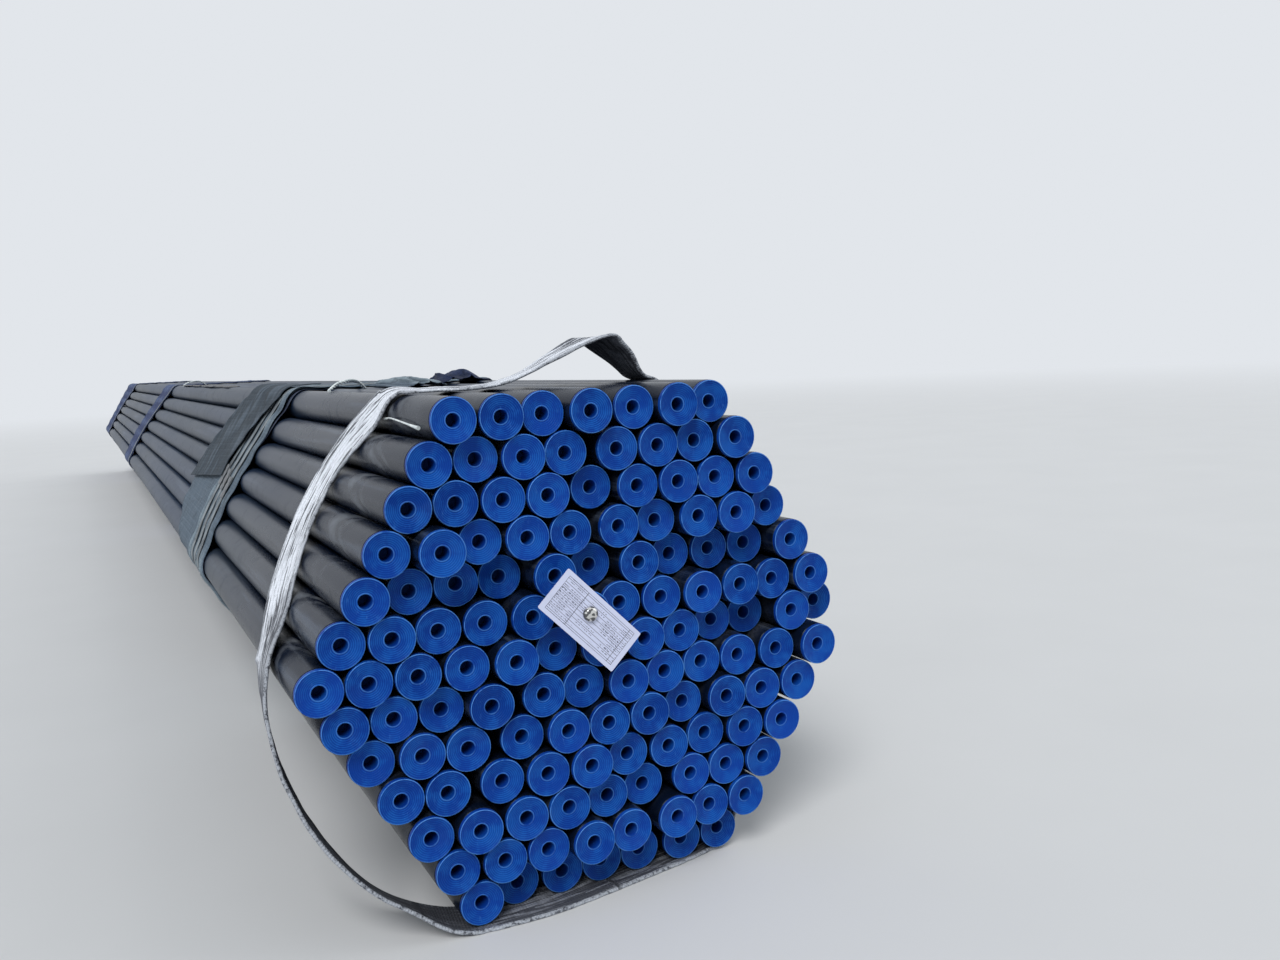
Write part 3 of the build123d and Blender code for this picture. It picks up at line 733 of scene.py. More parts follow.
def evaluated(piece):
    """The piece as a plain mesh: its modifiers are applied and removed, and a curve is replaced."""
    graph = bpy.context.evaluated_depsgraph_get()
    live = piece.evaluated_get(graph)
    mesh = bpy.data.meshes.new_from_object(live, preserve_all_data_layers=True, depsgraph=graph)
    name = mesh.name = piece.name
    if piece.type == "MESH":
        piece.modifiers.clear()
        piece.data = mesh
        return piece
    bpy.data.objects.remove(piece)
    made = bpy.data.objects.new(name, mesh)
    bpy.context.scene.collection.objects.link(made)
    return made


def grid_faces(rows, columns, closed_rows=False, closed_columns=False):
    """Quads over a grid of points stored row by row."""
    faces = []
    for i in range(rows if closed_rows else rows - 1):
        for j in range(columns if closed_columns else columns - 1):
            k, l = (i + 1) % rows, (j + 1) % columns
            faces.append((i * columns + j, i * columns + l, k * columns + l, k * columns + j))
    return faces


def facing_out(piece):
    """Make the faces of a closed or open mesh agree, and point outwards."""
    edit = bmesh.new()
    edit.from_mesh(piece.data)
    bmesh.ops.recalc_face_normals(edit, faces=edit.faces)
    edit.to_mesh(piece.data)
    edit.free()


def facing_up(piece):
    """Make the faces of a lying sheet agree, and point upwards."""
    facing_out(piece)
    if sum(p.normal.z for p in piece.data.polygons) < 0:
        piece.data.flip_normals()


class TreeMaker:
    """A geometry node tree with named inputs."""

    def __init__(self, name):
        self.tree = bpy.data.node_groups.new(name, "GeometryNodeTree")
        self.tree.is_modifier = True
        self.names = {}
        self.input("Geometry", "NodeSocketGeometry")
        self.tree.interface.new_socket(
            "Geometry", in_out="OUTPUT", socket_type="NodeSocketGeometry"
        )
        self.inside = None

    def input(self, name, kind, default=None):
        """Declare a named input."""
        socket = self.tree.interface.new_socket(name, in_out="INPUT", socket_type=kind)
        if default is not None:
            socket.default_value = default
        self.names[name] = socket.identifier

    def get(self, name):
        """The output of the group input that has this name."""
        if self.inside is None:
            self.inside = self.tree.nodes.new("NodeGroupInput")
        return next(s for s in self.inside.outputs if s.identifier == self.names[name])

    def node(self, kind, settings=None, inputs=None, output=0):
        """Add a node with its settings, and the values or links of its sockets."""
        made = self.tree.nodes.new(kind)
        for key, value in (settings or {}).items():
            setattr(made, key, value)
        for key, value in (inputs or {}).items():
            socket = made.inputs[key]
            if isinstance(value, bpy.types.NodeSocket):
                self.tree.links.new(value, socket)
            else:
                socket.default_value = value
        return made.outputs[output]

    def end(self, geometry):
        """Realize the instances, set the material and finish the tree."""
        real = self.node("GeometryNodeRealizeInstances", inputs={0: geometry})
        painted = self.node(
            "GeometryNodeSetMaterial", inputs={"Geometry": real, "Material": self.get("Material")}
        )
        out = self.tree.nodes.new("NodeGroupOutput")
        self.tree.links.new(painted, out.inputs[0])

    def put(self, piece, **values):
        """Add the tree to a piece as a modifier, with its inputs set by their identifiers."""
        modifier = piece.modifiers.new(self.tree.name, "NODES")
        modifier.node_group = self.tree
        for name, value in values.items():
            modifier[self.names[name]] = value


def repeat_tree():
    """Copies of one piece at the points of a mesh, each turned about Y and leaning a little."""
    tree = TreeMaker("Repeat At Points")
    tree.input("Piece", "NodeSocketObject")
    tree.input("Tip", "NodeSocketFloat", 0.0)
    tree.input("Seed", "NodeSocketInt", 0)
    tree.input("Material", "NodeSocketMaterial")
    shape = tree.node(
        "GeometryNodeObjectInfo",
        {"transform_space": "ORIGINAL"},
        {"Object": tree.get("Piece")},
        "Geometry",
    )
    tip, seed = tree.get("Tip"), tree.get("Seed")
    back = tree.node("ShaderNodeMath", {"operation": "MULTIPLY"}, {0: tip, 1: -1.0})
    low = tree.node("ShaderNodeCombineXYZ", inputs={0: back, 1: -math.pi, 2: back})
    high = tree.node("ShaderNodeCombineXYZ", inputs={0: tip, 1: math.pi, 2: tip})
    turn = tree.node(
        "FunctionNodeRandomValue", {"data_type": "FLOAT_VECTOR"}, {0: low, 1: high, "Seed": seed}
    )
    copies = tree.node(
        "GeometryNodeInstanceOnPoints",
        inputs={"Points": tree.get("Geometry"), "Instance": shape, "Rotation": turn},
    )
    luck = tree.node(
        "FunctionNodeRandomValue", {"data_type": "FLOAT"}, {2: 0.0, 3: 1.0, "Seed": seed}, output=1
    )
    marked = tree.node(
        "GeometryNodeStoreNamedAttribute",
        {"data_type": "FLOAT", "domain": "INSTANCE"},
        {"Geometry": copies, "Name": "luck", "Value": luck},
    )
    tree.end(marked)
    return tree


def repeat(name, shape, points, material, tip, seed):
    """One mesh of many copies of a shape, at points."""
    piece = new_piece(name, points, [], None)
    tree = repeat_tree()
    tree.put(piece, Piece=shape, Tip=tip, Seed=seed, Material=material)
    evaluated(piece)
    bpy.data.objects.remove(shape)
    return piece


def turned(name, profile, sides, outward, closed):
    """A shape turned about Y from (radius, y, sharp) points. It keeps each point's radius."""
    points, radii = [], []
    for radius, y, _ in profile:
        for i in range(sides):
            a = 2 * math.pi * i / sides
            points.append((radius * math.cos(a), y * outward, radius * math.sin(a)))
            radii.append(radius)
    count = len(profile)
    faces = grid_faces(count, sides, closed_rows=closed, closed_columns=True)
    if not closed:
        for ring in (0, count - 1):
            middle = len(points)
            points.append((0.0, profile[ring][1] * outward, 0.0))
            radii.append(0.0)
            faces += [
                (ring * sides + i, ring * sides + (i + 1) % sides, middle) for i in range(sides)
            ]
    piece = new_piece(name, points, faces, None, values={"ring": radii})
    facing_out(piece)
    sharp = {ring for ring, (_, _, flag) in enumerate(profile) if flag}
    marks = piece.data.attributes.new("sharp_edge", "BOOLEAN", "EDGE")
    flags = []
    for edge in piece.data.edges:
        a, b = edge.vertices
        flags.append(
            a < count * sides and b < count * sides and a // sides == b // sides
            and a // sides in sharp
        )
    marks.data.foreach_set("value", flags)
    return piece


# The way round the bundle: from the bottom left corner up the left side, over the top and back.

GIRTH_AT = 0.0235


def smoothed(values, reach):
    """The running mean of values round a loop, over so many neighbours on each side."""
    kernel = np.ones(2 * reach + 1) / (2 * reach + 1)
    padded = np.concatenate([values[-reach:], values, values[:reach]])
    return np.convolve(padded, kernel, "valid")


def at_places(place, stops):
    """The values at places round the bundle, from (place, value) stops."""
    places, values = zip(*stops)
    return np.interp(place, places, values, period=6)


class Hoop:
    """Stations round the bundle: a base point on the pipes' axes, an outward normal and a place.

    The place runs from 0 at the bottom left corner, up the left side and back, to 6.
    """

    def __init__(self, side_steps, corner_steps):
        base, normal, place = [], [], []
        for side in range(6):
            a, b = np.array(CORNERS[side]), np.array(CORNERS[(side + 1) % 6])
            before = np.array(CORNERS[side - 1])
            first, second = self.outward(before, a), self.outward(a, b)
            turn = math.atan2(first[0] * second[1] - first[1] * second[0], first @ second)
            for i in range(corner_steps):
                spun = Matrix.Rotation(turn * i / corner_steps, 2) @ Vector(first)
                base.append(a)
                normal.append(np.array(spun))
                place.append(side)
            for i in range(side_steps):
                share = i / side_steps
                base.append(a + (b - a) * share)
                normal.append(second)
                place.append(side + share)
        self.base, self.normal = np.array(base), np.array(normal)
        self.place = np.array(place, float)
        outer = self.at(GIRTH_AT)
        runs = np.hypot(*(np.roll(outer, -1, 0) - outer).T)
        self.girth = runs.sum()
        self.s = np.concatenate([[0.0], np.cumsum(runs)[:-1]])
        self.count = len(base)

    @staticmethod
    def outward(a, b):
        """The normal to the left of the way from a to b, which is outwards."""
        along = (b - a) / np.hypot(*(b - a))
        return np.array([-along[1], along[0]])

    def along(self, place):
        """The distance round the bundle at a place."""
        return float(np.interp(place, self.place, self.s))

    def point(self, s):
        """The base point, the outward normal and the place at a distance round the bundle."""
        index = float(np.interp(s, self.s, np.arange(self.count)))
        k, part = int(index), index % 1
        after = min(k + 1, self.count - 1)
        normal = self.normal[k] * (1 - part) + self.normal[after] * part
        base = self.base[k] * (1 - part) + self.base[after] * part
        place = self.place[k] * (1 - part) + self.place[after] * part
        return base, normal / np.hypot(*normal), place

    def at(self, off):
        """Points (x, z) at an offset from the axes of the outer pipes."""
        return self.base + self.normal * np.asarray(off)[..., None]

    def table(self, stops, smooth=5):
        """A value at each station, from (place, value) stops, smoothed round the loop."""
        return smoothed(at_places(self.place, stops), smooth)


def noise_at(x, y, z):
    """Smooth noise from -1 to 1 at a point."""
    return noise.noise(Vector((x, y, z)))


def edge_noise(hoop, cycles, seed):
    """Smooth noise at each station of the hoop."""
    return np.array([noise_at(s * cycles, seed, 0.0) for s in hoop.s])


def soft(share):
    """A share from 0 to 1, eased at both ends."""
    return share * share * (3 - 2 * share)


def noise_grid(a, b, scale_a, scale_b, seed):
    """Smooth noise from -1 to 1 over two arrays of the same shape."""
    flat = [noise_at(x * scale_a, y * scale_b, seed) for x, y in zip(a.ravel(), b.ravel())]
    return np.array(flat).reshape(a.shape)


def cloth_round(name, hoop, near, far, steps, height, material, thickness, crest=None):
    """A sheet of cloth round the bundle, from its near to its far edge, over the pipes' axes."""
    t = np.linspace(0, 1, steps)
    s = np.repeat(hoop.s[:, None], steps, 1)
    y = near[:, None] + (far - near)[:, None] * t
    off = height(s, y, y - near[:, None])
    points = np.empty((hoop.count, steps, 3))
    points[..., 0] = hoop.base[:, None, 0] + hoop.normal[:, None, 0] * off
    points[..., 2] = hoop.base[:, None, 1] + hoop.normal[:, None, 1] * off
    points[..., 1] = y
    # The crest is how high the cloth stands; the cloth's material paints light on it.
    level = (off - off.min()) / max(1e-6, off.max() - off.min()) if crest is None else crest(off)
    values = {"crest": level.ravel()}
    faces = grid_faces(hoop.count, steps, closed_rows=True)
    uv = np.stack([s, y], -1).reshape(-1, 2)
    piece = new_piece(name, points.reshape(-1, 3), faces, material, uv, values)
    give_wall(piece, thickness, hoop_outward(points, hoop))
    return piece


def hoop_outward(points, hoop):
    """Whether the faces of a sheet round the bundle already point outwards."""
    step_round = points[1, 0] - points[0, 0]
    step_along = points[0, 1] - points[0, 0]
    normal = np.cross(step_along, step_round)
    return normal[0] * hoop.normal[0, 0] + normal[2] * hoop.normal[0, 1]


def give_wall(piece, thickness, sign=1.0, offset=-1.0):
    """Give an open sheet its wall, inside it. A sign below 0 turns its faces over first."""
    if sign < 0:
        piece.data.flip_normals()
    wall = piece.modifiers.new("Wall", "SOLIDIFY")
    wall.thickness = thickness
    wall.offset = offset
    wall.use_even_offset = False
    evaluated(piece)


def band_round(name, hoop, middle, width, inner, thickness, material):
    """A flat strap round the bundle, as a closed loop with rounded edges."""
    half, rise = width / 2, thickness
    section = [
        (-half, 0.0), (-half, rise * 0.7), (-half * 0.93, rise), (-half * 0.5, rise * 0.93),
        (0, rise), (half * 0.5, rise * 0.93), (half * 0.93, rise), (half, rise * 0.7),
        (half, 0.0), (0, rise * 0.05),
    ]
    points, uv = [], []
    for i in range(hoop.count):
        for across, up in section:
            off = inner[i] + up
            x, z = hoop.base[i] + hoop.normal[i] * off
            points.append((x, middle[i] + across, z))
            uv.append((across, hoop.s[i]))
    faces = grid_faces(hoop.count, len(section), closed_rows=True, closed_columns=True)
    piece = new_piece(name, points, faces, material, uv)
    facing_out(piece)
    return piece


# Heights of the cloth and the straps from the axes of the outer pipes, and the dips between pipes.

CLOTH_LOW = PIPE_R + 0.0018
CLOTH_LEAST = PIPE_R + 0.0012
LINING_LOW = PIPE_R + 0.0010
FLAP_LOW = PIPE_R + 0.0060
STRAP_SEAT = PIPE_R + 0.0029
GREY_DIP, BLUE_DIP, STRAPPED_DIP = 0.0016, 0.0018, 0.0006
FRAY = 0.003
STRAP_FROM_EDGE, STRAP_HALF = 0.0235, 0.0095
SEAL_PLACE, SEALS_APART = 1.44, 0.03


def resting_limit(hoop, off):
    """Keep the cloth off the floor, along the underside and its two corners."""
    floor_gap, least_slope = 0.0004, 0.05
    limit = (hoop.base[:, 1] - floor_gap) / np.maximum(least_slope, -hoop.normal[:, 1])
    limit = np.where(hoop.normal[:, 1] < -least_slope, limit, 1.0)
    return np.minimum(off, limit[:, None])


def between_pipes(hoop):
    """How far the cloth dips between two pipes, from 0 on a pipe to 1 between them."""
    share = hoop.place - np.floor(hoop.place)
    return np.sin(math.pi * SIDE_GAPS * share) ** 2


def near_strap_middles(hoop, near):
    """Middle lines of the three straps of the near wrap."""
    lines = []
    round_way = hoop.place * math.pi / 3
    for start, seed in ((0.048, 1.0), (0.092, 2.0), (0.136, 3.0)):
        wander = np.array([noise_at(math.cos(a) * 2, math.sin(a) * 2, seed) for a in round_way])
        lines.append(near + start + STRAP_HALF + wander * 0.008)
    return lines


def in_metres(hoop, stops, smooth=5):
    """Edge lines of a wrap, from stops in millimetres from the near end."""
    return NEAR_END + hoop.table(stops, smooth) / 1000


# Edges of the wraps and the loose end, as (place round the bundle, millimetres from the near end).

NEAR_WRAP_NEAR = (
    (0.0, 714), (0.5, 722), (1.0, 698), (1.06, 732), (1.18, 756), (1.3, 764), (1.42, 758),
    (1.54, 750), (1.64, 738), (1.74, 722), (1.85, 712), (1.94, 688), (2.05, 668), (2.5, 680),
    (3.0, 672), (3.5, 684), (4.0, 688), (4.5, 700), (5.0, 704), (5.5, 712),
)
NEAR_WRAP_FAR = (
    (0.0, 1165), (0.5, 1150), (1.0, 1075), (1.06, 1200), (1.15, 1247), (1.33, 1254), (1.45, 1238),
    (1.6, 1190), (2.0, 1040), (2.5, 1066), (3.0, 1082), (3.5, 1104), (4.0, 1112), (4.5, 1130),
    (5.0, 1138), (5.5, 1154),
)
FLAP_NEAR = (
    (1.33, 905), (1.445, 903), (1.557, 906), (1.702, 859), (1.841, 814), (1.997, 736), (2.12, 716),
)
FLAP_FAR = ((1.33, 1271), (1.449, 1246), (1.634, 1197), (1.854, 1119), (2.01, 1039), (2.12, 1010))
FLAP_BOTTOM = (1.445, 1.331)
FLAP_TOP = 2.12
# Folds of the near wrap: how far each lies from the near edge, its height and its half width.
NEAR_FOLDS = (
    (0.006, 0.0042, 0.006), (0.036, 0.0030, 0.009), (0.072, 0.0046, 0.007), (0.086, 0.0026, 0.005),
    (0.118, 0.0044, 0.010), (0.158, 0.0034, 0.008), (0.176, 0.0042, 0.010), (0.212, 0.0026, 0.014),
)
MIDDLE_WRAP_NEAR = (
    (0.0, 2925), (0.5, 2960), (1.0, 3020), (1.17, 3075), (1.43, 3060), (1.77, 2905), (2.0, 2760),
    (2.5, 2775), (3.0, 2790), (3.5, 2822), (4.0, 2845), (4.5, 2870), (5.0, 2885), (5.5, 2908),
)
MIDDLE_WRAP_FAR = (
    (0.0, 3320), (0.5, 3350), (1.0, 3360), (1.2, 3420), (1.42, 3420), (1.71, 3300), (2.0, 3130),
    (2.5, 3155), (3.0, 3180), (3.5, 3222), (4.0, 3240), (4.5, 3275), (5.0, 3285), (5.5, 3310),
)
FAR_WRAP_NEAR = (
    (0.0, 5150), (0.5, 5235), (1.0, 5330), (1.25, 5420), (1.6, 5360), (1.9, 5130), (2.3, 5080),
    (3.0, 5094), (3.5, 5112), (4.0, 5118), (4.5, 5132), (5.0, 5128), (5.5, 5140),
)
FAR_WRAP_FAR = (
    (0.0, 5925), (1.0, 5915), (1.5, 5930), (2.0, 5905), (3.0, 5920), (4.0, 5910), (5.0, 5925),
)
# How far the lining shows past the near wrap's near edge, in millimetres.
LINING_SHOWS = (
    (0.0, -5), (0.7, -5), (1.0, 3), (1.1, -5), (1.72, -5), (1.80, 12), (1.9, 26), (2.02, 18),
    (2.2, -5), (5.0, -5),
)
LINING_WIDTH, LINING_THICKNESS = 0.16, 0.0005

# The sling round the bundle: its millimetres from the near end, its lean in degrees, and its soil
# with painted shade.

SLING_DRIFT = (
    (0.0, 27), (0.3, 16), (0.6, 20), (0.68, 29), (0.76, 38), (0.84, 54), (0.92, 82), (1.0, 120),
    (1.08, 148), (1.17, 174), (1.26, 195), (1.376, 218), (1.54, 231), (1.73, 224), (1.84, 203),
    (1.965, 163), (2.04, 134), (2.26, 124), (2.6, 142), (2.75, 150), (3.0, 160), (3.5, 156),
    (4.0, 124), (4.5, 96), (5.0, 56), (5.3, 44),
)
SLING_LEAN = (
    (0.0, 0), (0.64, 0), (0.69, 11), (0.74, 7), (0.80, 0), (0.88, -4), (0.95, -7), (1.0, -3),
    (1.2, 4), (1.5, 6), (1.8, 4), (2.0, 1), (2.26, 0), (2.42, -7), (2.62, -9), (2.75, -1),
    (2.88, 4), (3.0, 0), (3.5, 2), (4.0, 1), (4.6, 1), (5.0, 0), (6.0, 0),
)
# Soil with painted shade: high on the floor under the bundle, where the sling hangs and under the
# arch.
SLING_SOIL_AND_SHADE = (
    (0.0, 0.70), (0.4, 0.66), (0.52, 0.78), (0.60, 1.0), (0.93, 0.95), (1.0, 0.75), (1.15, 0.35),
    (1.4, 0.08), (2.2, 0.05), (2.62, 0.15), (2.72, 0.7), (2.95, 0.95), (3.2, 0.4), (4.0, 0.3),
    (5.0, 0.6), (5.6, 0.7),
)
SLING_GAP = 0.0007
SLING_STEP = 0.0042


def folded_round(piece, node):
    """Attach a piece of cloth folded round the pipes to the body, and hide the CAD node it stands in
    for.
    """
    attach(piece, BODY)
    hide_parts(node)


# Operators: one for each piece or group of like pieces.


class BUNDLE_OT_pipes(bpy.types.Operator):
    """Replace the frame's pipes by finer tubes with lacquered walls"""

    bl_idname = "bundle.pipes"
    bl_label = "Pipes"

    def execute(self, context):
        settings = context.scene.bundle_pipes
        radius, bore = settings.diameter / 2, settings.diameter / 2 - settings.wall
        length = PIPES[0][0][3] - PIPES[0][0][2]
        cut = settings.chamfer
        profile = [
            (bore, 0.0, True),
            (radius - cut, 0.0, True),
            (radius, cut, True),
            (radius, length - cut, True),
            (radius - cut, length, True),
            (bore, length, True),
        ]
        shape = turned("pipe_shape", profile, settings.sides, 1.0, closed=True)
        points = [(x, near, z) for row in PIPES for x, z, near, _ in row]
        piece = repeat(
            "pipes", shape, points, lacquer_material(settings), 0.0, 7
        )
        self.store_facing(piece.data, points, radius)
        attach(piece, BODY)
        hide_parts(*[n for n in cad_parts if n.startswith("pipes_row_")])
        return {"FINISHED"}

    def store_facing(self, mesh, points, radius):
        """Store how much each vertex faces up and to the left, from -1 to 1."""
        # The lacquer paints its sheen by the ends where this is high, on the side towards the light.
        spots = np.zeros(len(mesh.vertices) * 3)
        mesh.vertices.foreach_get("co", spots)
        spots = spots.reshape(len(points), -1, 3) - np.array(points)[:, None]
        facing = (spots[..., 2] * 0.77 - spots[..., 0] * 0.64) / radius
        stored = mesh.attributes.new("facing", "FLOAT", "POINT")
        stored.data.foreach_set("value", facing.ravel().astype(np.float32))


class BUNDLE_OT_plugs(bpy.types.Operator):
    """Replace the frame's plugs by rounder ones, each turned its own way"""

    bl_idname = "bundle.plugs"
    bl_label = "Plugs"

    def execute(self, context):
        settings = context.scene.bundle_plugs
        pipes = context.scene.bundle_pipes
        bore = pipes.diameter / 2 - pipes.wall
        edge, cup, face = settings.diameter / 2, settings.cup / 2, settings.flange - 0.0005
        dish = face - settings.dish
        stem, inner = bore - 0.00015, bore - 0.0018
        profile = [
            (cup - 0.0007, -settings.cup_depth, True),
            (cup - 0.0002, dish - 0.001, False),
            (cup + 0.0001, dish + 0.0004, True),
            (cup + 0.0008, dish + 0.0006, False),
            (cup + 0.0015, dish + 0.0001, True),
            ((cup + edge) / 2 + 0.0003, dish + settings.dish * 0.52, False),
            (edge - 0.0017, face, True),
            (edge - 0.0013, face + 0.0004, False),
            (edge - 0.0007, settings.flange, False),
            (edge - 0.0001, face + 0.0001, False),
            (edge, face - 0.0007, False),
            (edge, 0.00005, True),
            (stem, 0.00005, True),
            (stem - 0.0003, -0.022, True),
            (inner, -0.022, True),
            (inner, dish - 0.0016, True),
            (cup + 0.0012, dish - 0.0016, True),
            (cup + 0.0006, -settings.cup_depth - 0.0014, True),
        ]
        material = plug_material(settings)
        for name, end, outward, seed in (("near_plugs", 2, -1.0, 0), ("far_plugs", 3, 1.0, 9)):
            shape = turned(name + "_shape", profile, settings.sides, outward, closed=False)
            points = [(pipe[0], pipe[end], pipe[1]) for row in PIPES for pipe in row]
            piece = repeat(
                name, shape, points, material, settings.tip, settings.seed + seed
            )
            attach(piece, BODY)
            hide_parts(*[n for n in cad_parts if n.startswith(name + "_row_")])
        return {"FINISHED"}


class BUNDLE_OT_near_wrap(bpy.types.Operator):
    """Lay the near wrap: grey cloth gathered under three straps, its lining and its loose end"""

    bl_idname = "bundle.near_wrap"
    bl_label = "Near Wrap"

    def execute(self, context):
        settings = context.scene.bundle_wraps
        hoop = Hoop(50, 8)
        frayed = edge_noise(hoop, 70, 3.0) * FRAY
        near = in_metres(hoop, NEAR_WRAP_NEAR) + frayed
        far = in_metres(hoop, NEAR_WRAP_FAR) + frayed[::-1]
        self.wrap(settings, hoop, near, far)
        self.lining(settings, hoop, near)
        self.flap(hoop)
        return {"FINISHED"}

    def wrap(self, settings, hoop, near, far):
        """The grey cloth, gathered under the three straps."""
        middles = near_strap_middles(hoop, near)
        dips = between_pipes(hoop)[:, None]
        half = settings.strap_width / 2

        def height(s, y, from_edge):
            fine = noise_grid(s, y, 26, 60, 0.5)
            creases = noise_grid(s + y * 0.5, y, 9, 42, 2.5)
            off = CLOTH_LOW - GREY_DIP * dips + 0.0007 * fine + 0.0018 * np.abs(creases)
            for number, (place, rise, reach) in enumerate(NEAR_FOLDS):
                wander = 0.011 * noise_grid(s, y, 4.5, 3, 11.0 + number)
                swell = np.clip(0.55 + 1.1 * noise_grid(s, y, 6, 4, 21.0 + number), 0, 1.3)
                off = off + rise * swell * np.exp(-(((from_edge - place - wander) / reach) ** 2))
            for middle in middles:
                close = np.clip((np.abs(y - middle[:, None]) - half) / 0.007, 0, 1)
                low = CLOTH_LOW - STRAPPED_DIP * dips
                off = low + (off - low) * soft(close)
            off = np.maximum(off, CLOTH_LEAST + settings.cloth - GREY_DIP * dips)
            return resting_limit(hoop, off)

        # Higher cloth gets more painted light, more so in the band of folds by the near edge, which
        # is paler throughout.
        def crest(off):
            across = (np.arange(off.shape[1]) / (off.shape[1] - 1)) * (far - near)[:, None]
            banded = 1 / (1 + np.exp((across - 0.20) / 0.012))
            return np.clip((off - CLOTH_LOW) / 0.0065, 0, 1) * (0.3 + 0.55 * banded) + 0.20 * banded

        grey = woven_material("grey_woven_cloth", settings.grey, GREY_CREST_LIGHT, dirt=0.55)
        wrap = cloth_round(
            "near_wrap_cloth", hoop, near, far, 92, height, grey,
            settings.cloth, crest,
        )
        folded_round(wrap, "near_wrap")

    def lining(self, settings, hoop, near):
        """The lining, which shows past the near edge of the wrap on the upper left side."""
        dips = between_pipes(hoop)[:, None]
        dark = woven_material("dark_woven_cloth", settings.dark, DARK_CREST_LIGHT)
        shows = hoop.table(LINING_SHOWS) / 1000
        ragged = edge_noise(hoop, 40, 9.0) * np.clip(shows, 0, 0.007)
        lining_near = near - shows + ragged

        def height(s, y, from_edge):
            curls = np.maximum(0, noise_grid(s, y, 24, 5, 6.0))
            lift = np.exp(-from_edge / 0.012) * (0.0012 + 0.0022 * curls)
            return resting_limit(hoop, LINING_LOW - GREY_DIP * dips + lift)

        lining = cloth_round(
            "near_wrap_lining_cloth", hoop, lining_near, near + LINING_WIDTH, 34, height, dark,
            LINING_THICKNESS,
        )
        folded_round(lining, "near_wrap_lining")

    def flap(self, hoop):
        """The loose end, laid over the upper left side with its lower corner cut off."""
        rows, columns = 64, 72
        points, uv, crest = [], [], []
        for i in range(rows):
            share = i / (rows - 1)
            for j in range(columns):
                t = j / (columns - 1)
                bottom = hoop.along(FLAP_BOTTOM[0] + (FLAP_BOTTOM[1] - FLAP_BOTTOM[0]) * t)
                base, normal, place = hoop.point(bottom + (hoop.along(FLAP_TOP) - bottom) * share)
                start = np.interp(place, *zip(*FLAP_NEAR)) + 5 * noise_at(share * 9, 1.0, 0.0)
                end = np.interp(place, *zip(*FLAP_FAR)) + 6 * noise_at(share * 7, 2.0, 0.0)
                y = NEAR_END + (start + (end - start) * t) / 1000
                wave = noise_at(share * 7, y * 16, 5.0)
                fold = abs(noise_at(share * 3 + y * 5, y * 30, 1.0))
                rim = max(0.0, 1 - min(t, 1 - t, share + 0.02) / 0.10)
                off = FLAP_LOW + 0.0008 * wave + 0.0022 * fold + 0.0016 * rim * (0.6 + wave)
                x, z = base + normal * off
                points.append((x, y, z))
                uv.append((share * 0.17, y))
                # The crest paints light on the tops of the folds.
                crest.append(min(1.0, 0.1 + fold * 1.1))
        shade = woven_material("dark_grey_woven_cloth", FLAP_GREY, FLAP_CREST_LIGHT, dirt=0.5)
        faces = grid_faces(rows, columns)
        piece = new_piece(
            "near_wrap_flap_cloth", points, faces, shade, uv, {"crest": crest}
        )
        facing_out(piece)
        centre = piece.data.polygons[len(piece.data.polygons) // 2].normal
        give_wall(piece, 0.0009, -centre.x, offset=1.0)
        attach(piece, BODY)
        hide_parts("near_wrap_flap")


class BUNDLE_OT_blue_wraps(bpy.types.Operator):
    """Lay the two blue wraps farther along the bundle"""

    bl_idname = "bundle.blue_wraps"
    bl_label = "Blue Wraps"

    def execute(self, context):
        settings = context.scene.bundle_wraps
        blue = woven_material("blue_woven_cloth", settings.blue, BLUE_CREST_LIGHT, dirt=0.45)
        hoop = Hoop(36, 7)
        dips = between_pipes(hoop)[:, None]
        for name, near_stops, far_stops, steps, seed in (
            ("middle_wrap", MIDDLE_WRAP_NEAR, MIDDLE_WRAP_FAR, 64, 3.0),
            ("far_wrap", FAR_WRAP_NEAR, FAR_WRAP_FAR, 92, 8.0),
        ):
            frayed = edge_noise(hoop, 60, seed) * FRAY
            near = in_metres(hoop, near_stops, 3) + frayed
            far = in_metres(hoop, far_stops, 3) + frayed[::-1]

            def height(s, y, from_edge):
                strap = np.clip((np.abs(from_edge - STRAP_FROM_EDGE) - STRAP_HALF) / 0.008, 0, 1)
                creases = np.abs(noise_grid(s + y * 0.4, y, 8, 30, seed))
                long_folds = np.abs(noise_grid(s, y, 14, 9, seed + 5))
                off = (
                    CLOTH_LOW - BLUE_DIP * dips + 0.0030 * creases
                    + 0.0030 * long_folds * np.exp(-from_edge / 0.2)
                )
                low = CLOTH_LOW - STRAPPED_DIP * dips
                return resting_limit(hoop, low + (off - low) * strap)

            piece = cloth_round(
                name + "_cloth", hoop, near, far, steps, height, blue,
                settings.cloth,
            )
            folded_round(piece, name)
        return {"FINISHED"}


